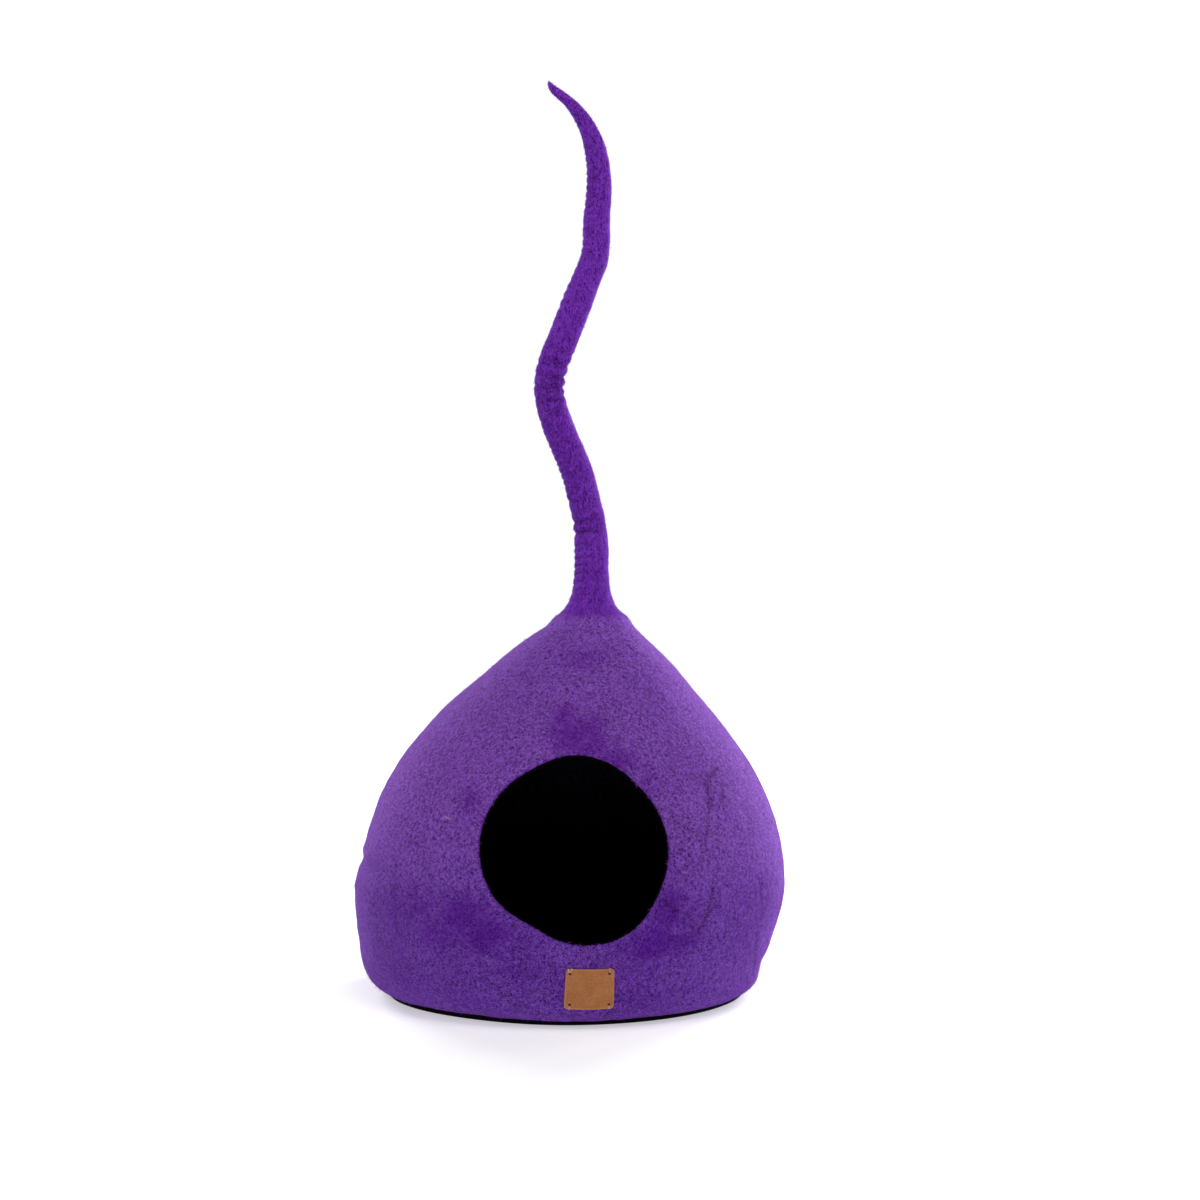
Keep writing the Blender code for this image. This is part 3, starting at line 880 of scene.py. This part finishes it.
def fibre_tree():
    """Curled fibres strewn over felt: each is a flat ribbon that lies on it, one end a little raised."""
    kinds = {"Felt": "Geometry", **dict.fromkeys(FIBRE_SIZES, "Float"), "Seed": "Int", "Wool": "Material"}
    tree, asked = start_tree("loose_fibres", kinds, "Fibres")
    start = Wire(tree)

    def chance(low, high, salt):
        limits = {2: low, 3: high, "Seed": asked["Seed"] + salt}
        return start.node("FunctionNodeRandomValue", limits, 1, data_type="FLOAT")

    def write(points, name, value, kind):
        held = {"Geometry": points, "Name": name, "Value": value}
        return start.node("GeometryNodeStoreNamedAttribute", held, data_type=kind, domain="POINT")

    def read(name, kind):
        return start.node("GeometryNodeInputNamedAttribute", {"Name": name}, data_type=kind)

    roots = start.node("GeometryNodeDistributePointsOnFaces", {
        "Mesh": asked["Felt"], "Density": asked["Density"] * read("fuzz", "FLOAT"), "Seed": asked["Seed"]})
    square, turned = (Wire(tree, roots.socket.node.outputs[name]) for name in ("Normal", "Rotation"))
    roots = write(roots, "square_to_felt", square, "FLOAT_VECTOR")
    roots = write(roots, "fibre_tone", chance(0.0, 1.0, 5), "FLOAT")
    line = start.node("GeometryNodeCurvePrimitiveLine", {"Start": (-0.5, 0, 0), "End": (0.5, 0, 0)})
    line = start.node("GeometryNodeResampleCurve", {"Curve": line, "Count": FIBRE_POINTS})
    spin = start.node("ShaderNodeCombineXYZ", {2: chance(-math.pi, math.pi, 11)})
    lift = chance(0.0, 1.0, 7).math("POWER", FEW_RAISED) * asked["Lift"]
    lift = start.node("ShaderNodeCombineXYZ", {1: lift})
    for turn in (spin, lift):
        turned = start.node("FunctionNodeRotateRotation", {0: turned, 1: turn}, rotation_space="LOCAL")
    length = asked["Length"] * chance(SHORTEST, LONGEST, 13)
    placed = {"Points": roots, "Instance": line, "Rotation": turned, "Scale": length}
    fibres = start.node("GeometryNodeInstanceOnPoints", placed)
    fibres = start.node("GeometryNodeRealizeInstances", {"Geometry": fibres})
    square = read("square_to_felt", "FLOAT_VECTOR")
    place, tone = start.node("GeometryNodeInputPosition"), read("fibre_tone", "FLOAT")
    waved = {"Vector": place, "W": tone * WAVES_APART, "Scale": WAVES, "Detail": 0.0}
    waves = start.node("ShaderNodeTexNoise", waved, "Color", noise_dimensions="4D")
    drift = waves.vector("SUBTRACT", (0.5, 0.5, 0.5))
    inward = drift.vector("DOT_PRODUCT", square, output="Value") * WAVES_FLATTENED
    drift = drift.vector("SUBTRACT", square.scaled(inward)).scaled(asked["Curl"])
    moved = {"Geometry": fibres, "Offset": drift.vector("ADD", square.scaled(FIBRE_OFF))}
    fibres = start.node("GeometryNodeSetPosition", moved)
    fibres = start.node("GeometryNodeSetCurveNormal", {"Curve": fibres, "Normal": square}, mode="FREE")
    ends = [start.node("ShaderNodeCombineXYZ", {1: asked["Half Width"] * side}) for side in (-1.0, 1.0)]
    flat = start.node("GeometryNodeCurvePrimitiveLine", {"Start": ends[0], "End": ends[1]})
    ribbons = start.node("GeometryNodeCurveToMesh", {"Curve": fibres, "Profile Curve": flat})
    return end_tree(tree, ribbons, asked["Wool"])


def plain_mesh(obj):
    """The mesh that an object's modifier makes of it."""
    return bpy.data.meshes.new_from_object(obj.evaluated_get(bpy.context.evaluated_depsgraph_get()))


def grown(name, source, tree, values):
    """The piece that a node tree makes from a mesh, given its inputs by name."""
    bed = put(name + "_bed", source)
    modifier = bed.modifiers.new("grown", "NODES")
    modifier.node_group = tree
    for socket in tree.interface.items_tree:
        if socket.in_out == "INPUT" and socket.name in values:
            modifier[socket.identifier] = values[socket.name]
    mesh = plain_mesh(bed)
    mesh.name = name
    bpy.data.objects.remove(bed)
    return put(name, mesh)


def strew(name, bed, sizes, seed, wool, node):
    """Loose fibres on a piece of felt."""
    values = {**dict(zip(FIBRE_SIZES, sizes)), "Seed": seed, "Wool": wool}
    hand_in(grown(name, bed.data, strewing, values), node)


def fibre_wool(name, pale, deep):
    """Single fibres, each of its own shade. Pale and deep are pairs of heather and violet."""
    material, start = make_material(name)
    share = start.kept("violet").rise(0.02, 0.98)
    shade = (start.kept("fibre_tone") * 0.8 + start.place().noise(240) * 0.4).rise(0.0, 0.85)
    return dressed(material, {
        "Base Color": shade.blend(share.blend(*deep), share.blend(*pale)), "Roughness": 0.9,
        "Specular IOR Level": 0.1, "Sheen Weight": 0.2, "Sheen Roughness": 0.4, "Sheen Tint": FIBRE_GLOW})


skin = make_skin()
strewing = fibre_tree()
lavender = fibre_wool("lavender_fibre", (PALE_HEATHER, PALE_VIOLET), (DEEP_HEATHER, DEEP_VIOLET))
for number, sizes in enumerate(SKIN_FIBRES):
    strew(f"skin_fibres_{number + 1}", skin, sizes, 31 + number, lavender, "outer_felt")
strew("edge_fibres", pocket, EDGE_FIBRES, 61, pocket.data.materials[0], "inner_felt")

# Stray fibres of a pale pink wool: directions and heights of both ends, half the width, and how far the end
# stands off
STRAYS = table("from_direction from_height to_direction to_height half_width off", [
    (-129.2, 0.2022, -126.6, 0.2028, 0.00024, 0.0005),
    (-128.6, 0.203, -125.2, 0.2042, 0.00028, 0.0005),
    (-128.2, 0.2016, -125.6, 0.2022, 0.00022, 0.0008),
    (-127.4, 0.2034, -125, 0.2012, 0.00018, 0.0006),
    (-56.9, 0.0372, -56.3, 0.0405, 0.00022, 0.0004),
    (-59.6, 0.1515, -58.6, 0.1545, 0.00026, 0.0004),
    (-48.3, 0.0388, -47.7, 0.042, 0.00022, 0.0004),
    (-22, 0.048, -17, 0.044, 0.00014, 0.0042),
    (-20, 0.04, -16, 0.033, 0.00014, 0.005),
    (-16, 0.033, -13, 0.03, 0.00014, 0.0038),
    (-14, 0.027, -9, 0.021, 0.00014, 0.0046),
    (-10, 0.056, -7, 0.052, 0.00014, 0.0034),
])
STRAY_OFF = 0.0007
STRAY_BOW = 0.0016


def make_strays():
    shell = Shell()
    share = np.linspace(0, 1, 9)
    for number, (from_direction, from_height, to_direction, to_height, half_width, off) in enumerate(STRAYS):
        bow = STRAY_BOW * np.sin(np.pi * share * (1 + number % 2))
        angle = np.radians(from_direction + share * (to_direction - from_direction))
        height = from_height + share * (to_height - from_height) + bow
        line = body_layer(height, angle, -STRAY_OFF - off * share ** 2)
        across = np.cross(np.gradient(line, axis=0), body_normal(height, angle))
        across *= half_width / np.linalg.norm(across, axis=-1, keepdims=True)
        sides = shell.add([line - across, line + across])
        shell.faces.extend(np.stack([sides[0, :-1], sides[1, :-1], sides[1, 1:], sides[0, 1:]]).T)
    look = {"Base Color": PINK, "Roughness": 0.9, "Specular IOR Level": 0.1}
    wool = dressed(make_material("pink_wool")[0], look)
    hand_in(shell.piece("stray_fibres", wool), "outer_felt")


make_strays()


# --------------------------------------------------------------------------------------------- The tail
# A rope of violet wool rolled solid by hand, its root splayed like a skirt and felted onto the cave's top.
# It stands in slow bends, wrinkled where they squeeze it, and tapers to a thin tip.

TAIL = table("height x y radius", [
    (0.399, 0.0235, 0.003, 0.0333),
    (0.403, 0.0235, 0.003, 0.0295),
    (0.41, 0.0236, 0.003, 0.0243),
    (0.42, 0.0237, 0.003, 0.0208),
    (0.436, 0.0237, 0.004, 0.0186),
    (0.477, 0.0232, 0.008, 0.0178),
    (0.498, 0.0208, 0.01, 0.017),
    (0.519, 0.0158, 0.01, 0.0167),
    (0.54, 0.0108, 0.009, 0.0165),
    (0.561, 0.0036, 0.006, 0.0163),
    (0.582, -0.0057, 0.002, 0.0161),
    (0.603, -0.0136, -0.002, 0.016),
    (0.62, -0.0185, -0.005, 0.0158),
    (0.634, -0.0203, -0.007, 0.0158),
    (0.65, -0.0187, -0.009, 0.016),
    (0.666, -0.0145, -0.009, 0.0162),
    (0.687, -0.0061, -0.008, 0.0158),
    (0.708, 0.002, -0.005, 0.0157),
    (0.728, 0.0098, -0.002, 0.0156),
    (0.749, 0.018, 0.002, 0.0149),
    (0.77, 0.0261, 0.006, 0.0148),
    (0.785, 0.0285, 0.008, 0.0144),
    (0.812, 0.0292, 0.01, 0.0139),
    (0.845, 0.0317, 0.009, 0.0129),
    (0.874, 0.0301, 0.006, 0.0119),
    (0.895, 0.025, 0.003, 0.0103),
    (0.916, 0.0148, -0.001, 0.008),
    (0.934, 0, -0.004, 0.0056),
    (0.9455, -0.0144, -0.006, 0.0043),
    (0.9505, -0.0204, -0.007, 0.0032),
])
TAIL_RADIUS = 0.016
ROOT, TIP = TAIL["height"][0], TAIL["height"][-1]
ROOT_LEVEL = 0.008
AROUND_TAIL = 56
ALONG_TAIL = 0.0013
TAIL_LUMPS = [(0.00045, 0.011, 7), (0.00022, 0.005, 9)]
LUMPS_FROM, LUMPS_FADE = 0.402, 0.006
WRINKLE_DEPTH = 0.0018

# The tip: how long its round end is, where the last rings begin to slant, by how much, and its last turns
TIP_LENGTH = 0.0014
TIP_FADE = 0.006
TIP_SLANT = 1.25
TIP_TURNS = np.radians([25, 50, 72])

TAIL_VIOLET, TAIL_PALE, TAIL_GLOW = (0.09, 0.0042, 0.285, 1), (0.29, 0.056, 0.68, 1), (0.46, 0.12, 1, 1)
TAIL_LIE = (1.1, 1.1, 0.22)
TAIL_PITS = 0.4
TAIL_FIBRES = (300000, 0.0048, 0.00014, 0.8, 0.0034)

# Wrinkles across the tail where its bends squeeze it, each deepest in one direction and gone on the far side
WRINKLES = table("height direction half_angle depth half_height slant", [
    (0.47, 205, 120, 0.001, 0.0062, 0.001),
    (0.4845, 215, 150, 0.0026, 0.0066, 0.0005),
    (0.4975, 215, 150, 0.0022, 0.0066, 0.001),
    (0.509, 210, 130, 0.0012, 0.006, 0),
    (0.521, 205, 120, 0.0011, 0.006, 0.0008),
    (0.614, -45, 110, 0.0012, 0.0062, 0.001),
    (0.6262, -50, 130, 0.0026, 0.0064, 0.0016),
    (0.632, -75, 70, 0.0014, 0.004, -0.0012),
    (0.6376, -45, 130, 0.004, 0.0066, -0.001),
    (0.644, -75, 70, 0.0016, 0.004, 0.0014),
    (0.6502, -40, 135, 0.0036, 0.0066, 0.0012),
    (0.657, -80, 75, 0.0014, 0.004, -0.001),
    (0.6638, -40, 130, 0.0026, 0.0068, 0.0022),
    (0.676, -35, 110, 0.0012, 0.0062, 0.001),
    (0.774, 195, 110, 0.0009, 0.0044, 0.0008),
    (0.783, 190, 120, 0.0014, 0.0046, 0),
    (0.793, 200, 110, 0.0009, 0.0042, 0.001),
])

# Runs of small ridges along one side: where they start and end, their direction, spacing and depth.
# They wander round the tail and along it, their valleys deeper than their crests are high
RIDGES = table("from_height to_height direction half_angle spacing depth", [
    (0.408, 0.48, 205, 105, 0.0078, 0.001),
    (0.51, 0.62, 205, 100, 0.0074, 0.0012),
    (0.6, 0.69, 195, 85, 0.0092, 0.0008),
    (0.68, 0.78, 205, 90, 0.0086, 0.001),
    (0.79, 0.905, 205, 100, 0.0078, 0.0012),
    (0.885, 0.948, 205, 100, 0.0062, 0.0009),
])
RIDGE_TURN, RIDGE_WAVE, RIDGE_TWIST = 0.9, 0.8, 0.5
WAVE_LENGTH, TWIST_LENGTH = 0.019, 0.03
VALLEY, CREST = 1.6, 0.4

# The skirt felted onto the cave's top: how wide the cave is where it lies, and how high it stands off it
SKIRT = table("out rise", [
    (0.036, 0.0009),
    (0.0385, 0.0009),
    (0.041, 0.0008),
    (0.0432, 0.0005),
    (0.045, 0.0001),
    (0.0462, -0.0004),
])
SKIRT_UNDER = 0.00005
SKIRT_THINNEST = 0.0003
SKIRT_RADIUS = 0.03
SKIRT_WANDER = [(0.07, 0.022, 13)]
SKIRT_FROM = 0.375

# Where the tail's own colour begins on the skirt: how far out, over what width, and up to what height
DYE_REACH, DYE_FADE, DYE_TOP = 0.0405, 0.008, 0.404
DYE_EDGE = [(0.35, 0.006, 43)]
TAIL_DYED, TAIL_CLOUDS = 0.95, [(0.2, 0.03, 51)]


def tail_middle(height):
    return np.stack([smooth(TAIL, "x", height), smooth(TAIL, "y", height), height], axis=-1)


def tail_frame(height):
    """The tail's middle at these heights, and the two directions square to it."""
    along = tail_middle(np.minimum(height + SLOPE_STEP, TIP)) - tail_middle(height - SLOPE_STEP)
    along[:, :2] *= np.clip((height - ROOT) / ROOT_LEVEL, 0, 1)[:, None]
    along /= np.linalg.norm(along, axis=-1, keepdims=True)
    right = np.cross((0, 1, 0), along)
    right /= np.linalg.norm(right, axis=-1, keepdims=True)
    return tail_middle(height), right, np.cross(along, right)


def tail_heights():
    """Heights that are evenly spaced along the bent tail."""
    fine = np.linspace(ROOT, TIP, 4000)
    x, y, radius = (smooth(TAIL, column, fine) for column in ("x", "y", "radius"))
    steps = np.sqrt(np.diff(x) ** 2 + np.diff(y) ** 2 + np.diff(fine) ** 2 + np.diff(radius) ** 2)
    return evenly(fine, steps, int(np.cumsum(steps)[-1] / ALONG_TAIL))


def tail_girth(height, sides):
    """The tail's radius at each height and side, with its wrinkles and ridges."""
    up = height[:, None]
    girth = smooth(TAIL, "radius", height)[:, None] * np.ones(len(sides))
    slender = girth / TAIL_RADIUS
    for middle, direction, half_angle, depth, half_height, slant in WRINKLES:
        across = degrees_between(sides, direction) / half_angle
        pinch = 1 - np.minimum(np.abs(up - (middle + slant * np.sin(sides))) / half_height, 1)
        girth = girth - depth * hump(across) * pinch ** 2
    for number, (start, end, direction, half_angle, spacing, depth) in enumerate(RIDGES):
        across = degrees_between(sides, direction) / half_angle
        bend = RIDGE_TURN * np.sin(sides + number) + RIDGE_WAVE * np.sin(up / WAVE_LENGTH + number)
        bend = bend + RIDGE_TWIST * np.sin(2 * sides + up / TWIST_LENGTH)
        valley = 1 - np.abs(np.sin(np.pi * up / spacing + bend))
        fade = np.sqrt(hump(np.abs(up - (start + end) / 2) / ((end - start) / 2))) * hump(across)
        girth = girth - depth * slender * fade * (valley ** 2 * VALLEY - CREST)
    return girth


def skirt_height(out):
    """The height at which the cave's top is this wide."""
    heights = np.linspace(SKIRT_FROM, TOP, 60)
    return np.interp(out, smooth(BODY, "half_width", heights)[::-1], heights[::-1])


def make_tail():
    sides = np.linspace(0, 2 * np.pi, AROUND_TAIL, endpoint=False)
    height = tail_heights()
    middle, right, back = tail_frame(height)
    spokes = np.cos(sides)[:, None] * right[:, None] + np.sin(sides)[:, None] * back[:, None]
    girth = tail_girth(height, sides)
    plain = smooth(TAIL, "radius", height)[:, None]
    rings = middle[:, None] + girth[..., None] * spokes
    above_root = faded(-height, -LUMPS_FROM, LUMPS_FADE)[:, None]
    lumps = lumpy(0, rings, TAIL_LUMPS) * (above_root * np.clip(girth / TAIL_RADIUS, 0, 1))
    rings = rings + lumps[..., None] * spokes
    tip_way = (middle[-1] - middle[-2]) / np.linalg.norm(middle[-1] - middle[-2])
    near_tip = faded(-height, -height[-1], TIP_FADE)[:, None]
    rings = rings + (near_tip * TIP_SLANT * girth * spokes[..., 2])[..., None] * tip_way
    tips = [middle[-1] + (rings[-1] - middle[-1]) * math.cos(turn) + tip_way * TIP_LENGTH * math.sin(turn)
            for turn in TIP_TURNS]
    uneven = lumpy(1, spokes[0] * SKIRT_RADIUS, SKIRT_WANDER)
    shell = Shell()
    under, skirt = [], []
    for number, (out, rise) in enumerate(SKIRT):
        out = out * (1 + (uneven - 1) * number / (len(SKIRT) - 1))
        for off, gathered in ((rise, skirt), (min(SKIRT_UNDER, rise - SKIRT_THINNEST), under)):
            gathered.append(shell.add(body_layer(skirt_height(out), sides, -off)))
    body = [shell.add(ring) for ring in [*rings, *tips]]
    root_middle, tip = shell.add([(*middle[0][:2], TOP + SKIRT_UNDER), middle[-1] + tip_way * TIP_LENGTH])
    shell.band([*under, *skirt[::-1], *body])
    shell.fan(under[0][::-1], root_middle)
    shell.fan(body[-1], tip)
    wool = felted_wool("violet_wool", TAIL_VIOLET, TAIL_PALE, TAIL_GLOW, stretch=TAIL_LIE, pits=TAIL_PITS)
    tail = shell.piece("wool_tail", wool)
    points = shell.all_points()
    from_edge = (DYE_REACH - np.hypot(points[:, 0] - middle[0][0], points[:, 1] - middle[0][1])) / DYE_FADE
    violet = np.where(points[:, 2] < DYE_TOP, np.clip(lumpy(from_edge, points, DYE_EDGE), 0.1, 1), 1)
    # Painted shade in the tail's wrinkles and ridge valleys, fuller as the girth sinks
    hollow_shade = np.clip((plain - girth) / WRINKLE_DEPTH, 0, 1) * plain / TAIL_RADIUS
    keep(tail, "violet", violet * np.clip(lumpy(TAIL_DYED, points, TAIL_CLOUDS), 0, 1))
    keep(tail, "hollow_shade", shell.mark(np.array(body[:len(height)]), hollow_shade))
    keep(tail, "fuzz", shell.mark(np.array(body + skirt)))
    return hand_in(tail, "tail")


tail = make_tail()
violet_fibre = fibre_wool("violet_fibre", (PALE_HEATHER, TAIL_PALE), (DEEP_HEATHER, DEEP_VIOLET))
strew("tail_fibres", tail, TAIL_FIBRES, 71, violet_fibre, "tail")


# -------------------------------------------------------------------------------------------- The label
# A patch of tan vegetable-tanned leather, bent to the front of the wall under the opening and left bare.
# A hole is punched near each corner for the thread.

LABEL_WIDTH = 0.0482
LABEL_LENGTH = 0.0428
LABEL_HALVES = np.array([LABEL_WIDTH, LABEL_LENGTH]) / 2
LABEL_THICKNESS = 0.002
LABEL_FACE = GAP + LABEL_THICKNESS
LABEL_X = 0.0222
LABEL_HEIGHT = 0.0422
LABEL_TURN = math.radians(-1)
LABEL_CORNER = 0.0038
LABEL_SLANT = 0.045
LABEL_BOW = 0.0007

# How the label's edge rounds over: how far inside its outline, and how far below its face
LABEL_EDGE = table("inset drop", [
    (0.0011, 0),
    (0.00055, 0.00008),
    (0.00018, 0.0003),
    (0, 0.00065),
    (0, 0.0015),
    (0.0002, 0.0019),
    (0.0006, 0.002),
])
FACE_SHARES = np.linspace(0.08, 0.96, 12)
FAR_FROM_EDGE, UNDERNEATH = 0.02, 0.01

# The punched holes: side (-1 left, 1 right) and end (-1 low, 1 high), and the size and reach of the punch.
# The holes are blind: they end this far above the felt, and their floors and walls take painted shade
HOLES = [(-1, -1), (-1, 1), (1, -1), (1, 1)]
HOLE_RADIUS = 0.0011
HOLE_INSET = 0.0049
HOLE_FLOOR = 0.0006
PUNCH_TOP = 0.004
PUNCH_SIDES = 24
# Painted shade fills each hole round a point this far off the felt
HOLE_SHADE_DEPTH = 0.0013

TAN, REDDER_TAN = (0.51, 0.186, 0.048, 1), (0.625, 0.242, 0.069, 1)
PORE, GRAIN_LINE = (0.2, 0.066, 0.018, 1), (0.18, 0.058, 0.02, 1)
PAINTED_EDGE_HIGHLIGHT, HOLE_PAINTED_SHADE = (0.56, 0.26, 0.125, 1), (0.02, 0.01, 0.01, 1)


def label_point(across, up, depth):
    """A point across and up from the label's middle, bent to the body, at a depth under the felt's face."""
    x = LABEL_X + across * math.cos(LABEL_TURN) - up * math.sin(LABEL_TURN)
    rise = across * math.sin(LABEL_TURN) + up * math.cos(LABEL_TURN)
    lean = body_normal(LABEL_HEIGHT, front_angle(LABEL_HEIGHT, LABEL_X))[2]
    height = LABEL_HEIGHT + rise * math.sqrt(1 - lean * lean)
    return body_layer(height, front_angle(height, x), depth)


def label_outline(inset, side_points=14, corner_points=7):
    """The label's outline this far inside its edge, its top a little dipped and its bottom a little bowed."""
    middles = LABEL_HALVES - LABEL_CORNER
    arcs = []
    for quarter, side in enumerate([(1, 1), (-1, 1), (-1, -1), (1, -1)]):
        turns = np.radians(np.linspace(90 * quarter, 90 * quarter + 90, corner_points))
        arc = np.stack([np.cos(turns), np.sin(turns)], axis=-1)
        arcs.append(middles * side + (LABEL_CORNER - inset) * arc)
    outline = []
    for arc, following in zip(arcs, arcs[1:] + arcs[:1]):
        outline += [arc, np.linspace(arc[-1], following[0], side_points + 2)[1:-1]]
    across, up = np.concatenate(outline).T
    bow = LABEL_BOW * np.cos(np.pi * across / LABEL_WIDTH)
    return np.stack([across + LABEL_SLANT * up * (0.5 - across / LABEL_WIDTH), up - bow], axis=-1)


def hole_place(side, end, across=0.0, up=0.0, depth=0.0):
    """A point near a punched hole, by its side and end of the label."""
    half_width, half_length = LABEL_HALVES - HOLE_INSET
    return label_point(side * half_width + across, end * half_length + up, depth)


def leather():
    """Tan leather: fine pebbled grain, cloudy dye, a painted highlight along its edge and painted shade in
    its punched holes.
    """
    material, start = make_material("tan_leather")
    place = start.place()
    cloudy, fine = place.noise(90, 3), place.noise(1500, 2)
    pebbles = {"Vector": place, "Scale": 1100}
    grain = place.node("ShaderNodeTexVoronoi", pebbles, feature="DISTANCE_TO_EDGE")
    color = cloudy.rise(0.3, 0.7).blend(TAN, REDDER_TAN)
    color = (fine.rise(0.6, 0.35) * 0.62).blend(color, PORE)
    color = (grain.rise(0.10, 0.0) * 0.25).blend(color, GRAIN_LINE)
    # Painted highlight along the label's rounded edge
    color = (start.kept("edge_distance").rise(0.0020, 0.0004) * 0.45).blend(color, PAINTED_EDGE_HIGHLIGHT)
    # Painted shade in each blind hole
    for hole in HOLES:
        distance = place.vector("DISTANCE", tuple(hole_place(*hole, depth=-HOLE_SHADE_DEPTH)), output="Value")
        color = (distance.rise(0.0020, 0.0014) * 0.95).blend(color, HOLE_PAINTED_SHADE)
    height = grain.rise(0, 0.12) * 0.5 + fine * 0.5
    return dressed(material, {
        "Base Color": color, "Roughness": 0.58 + cloudy * 0.14, "Normal": height.bump(0.25, 0.0003),
        "Specular IOR Level": 0.35})


def punch_holes(label):
    turns = np.linspace(0, 2 * np.pi, PUNCH_SIDES, endpoint=False)
    across, up = HOLE_RADIUS * np.cos(turns), HOLE_RADIUS * np.sin(turns)
    punch = Shell()
    for hole in HOLES:
        low, high = (punch.add(hole_place(*hole, across, up, -off)) for off in (HOLE_FLOOR, PUNCH_TOP))
        punch.band([low, high])
        punch.faces += [low[::-1], high]
    cutter = punch.piece("punch", label.data.materials[0])
    cut = label.modifiers.new("holes", "BOOLEAN")
    cut.operation, cut.solver, cut.object = "DIFFERENCE", "EXACT", cutter
    mesh = plain_mesh(label)
    label.modifiers.remove(cut)
    label.data = mesh
    bpy.data.objects.remove(cutter)


def make_label():
    shell = Shell()
    rings, from_edge = [], []
    top = label_outline(LABEL_EDGE["inset"][0])
    for share in FACE_SHARES:
        rings.append(shell.add(label_point(*(top * share).T, -LABEL_FACE)))
        from_edge.append(np.min(LABEL_HALVES - np.abs(top * share), axis=1))
    for inset, drop in LABEL_EDGE:
        rings.append(shell.add(label_point(*label_outline(inset).T, drop - LABEL_FACE)))
        from_edge.append(np.full(len(top), inset))
    for share in FACE_SHARES[::-3]:
        rings.append(shell.add(label_point(*(top * share).T, -GAP)))
        from_edge.append(np.full(len(top), UNDERNEATH))
    middle, under = shell.add([label_point(0, 0, -LABEL_FACE), label_point(0, 0, -GAP)])
    shell.band(rings[::-1])
    shell.fan(rings[0], middle)
    shell.fan(rings[-1][::-1], under)
    label = shell.piece("leather_label", leather())
    keep(label, "edge_distance", np.concatenate([*from_edge, [FAR_FROM_EDGE] * 2]))
    punch_holes(label)
    return hand_in(label, "label")


label = make_label()


# ------------------------------------------------------------------------------------------- The thread
# Pale two-ply thread that sews the label on: out of each hole, over the leather's edge and into the felt.
# At the upper left hole it comes out twice, and the two stitches spread.

THREAD_RADIUS = 0.00028
THREAD_PITCH = 0.0014
THREAD_STEP = 0.00022
THREAD_FACE = LABEL_FACE + THREAD_RADIUS * 1.5
PLY_RADIUS = 0.62
PLY_OUT = 0.6
YARN_DARK, YARN_PALE = (0.8, 0.56, 0.36, 1), (1, 0.84, 0.62, 1)

# Stitches: side and end of the label, and how far across and up from the hole the thread goes down
STITCHES = table("side end across up", [
    (-1, 1, -0.0019, 0.0047),
    (-1, 1, 0.0017, 0.0047),
    (1, 1, 0.0003, 0.0047),
    (-1, -1, -0.0004, -0.0046),
    (1, -1, 0.0002, -0.0046),
])

# A stitch from its hole to the felt: what share of the way it has come, and how high it lies over the leather
STITCH = table("share lift", [
    (0.22, -0.0014),
    (0.24, -0.0006),
    (0.28, 0.0001),
    (0.4, 0.0002),
    (0.55, 0.0001),
    (0.78, 0),
    (0.91, -0.0002),
    (0.98, -0.001),
    (1, -0.002),
    (1, -0.0034),
])


def stitch_lines():
    """Bare lines for the thread to follow: up out of a hole, across the leather, and down into the felt."""
    points, edges = [], []
    for side, end, across, up in STITCHES:
        edges += [(len(points) + step, len(points) + step + 1) for step in range(len(STITCH) - 1)]
        for share, lift in STITCH:
            points.append(tuple(hole_place(side, end, across * share, up * share, -THREAD_FACE - lift)))
    mesh = bpy.data.meshes.new("stitches")
    mesh.from_pydata(points, edges, [])
    return mesh


def thread_tree():
    """Two plies wound round each line."""
    kinds = {"Lines": "Geometry", "Radius": "Float", "Pitch": "Float", "Step": "Float", "Yarn": "Material"}
    tree, asked = start_tree("two_ply_thread", kinds, "Thread")
    start = Wire(tree)
    lines = start.node("GeometryNodeMeshToCurve", {"Mesh": asked["Lines"]})
    lines = start.node("GeometryNodeCurveSplineType", {"Curve": lines}, spline_type="CATMULL_ROM")
    lines = start.node("GeometryNodeResampleCurve", {"Curve": lines, "Length": asked["Step"]}, mode="LENGTH")
    along = start.node("GeometryNodeSplineParameter", output="Length")
    square = start.node("GeometryNodeInputNormal")
    side = square.vector("CROSS_PRODUCT", start.node("GeometryNodeInputTangent"))
    ply_round = {"Resolution": 8, "Radius": asked["Radius"] * PLY_RADIUS}
    ply_round = start.node("GeometryNodeCurvePrimitiveCircle", ply_round)
    joined = tree.nodes.new("GeometryNodeJoinGeometry")
    for ply in range(2):
        turn = (along * 2.0 * math.pi).math("DIVIDE", asked["Pitch"]) + math.pi * ply
        out = square.scaled(turn.math("COSINE") * asked["Radius"] * PLY_OUT)
        out = out.vector("ADD", side.scaled(turn.math("SINE") * asked["Radius"] * PLY_OUT))
        wound = start.node("GeometryNodeSetPosition", {"Geometry": lines, "Offset": out})
        swept = {"Curve": wound, "Profile Curve": ply_round, "Fill Caps": True}
        tree.links.new(start.node("GeometryNodeCurveToMesh", swept).socket, joined.inputs[0])
    return end_tree(tree, Wire(tree, joined.outputs[0]), asked["Yarn"])


def pale_yarn():
    material, start = make_material("pale_yarn")
    hairs = start.place().noise(2600, 2, 1.0)
    color = hairs.rise(0.35, 0.65).blend(YARN_DARK, YARN_PALE)
    return dressed(material, {
        "Base Color": color, "Roughness": 0.7, "Normal": hairs.bump(0.5, 0.0001), "Sheen Weight": 0.2})


thread = grown("label_thread", stitch_lines(), thread_tree(), {
    "Radius": THREAD_RADIUS, "Pitch": THREAD_PITCH, "Step": THREAD_STEP, "Yarn": pale_yarn()})
thread.data.shade_smooth()
hand_in(thread, "label")
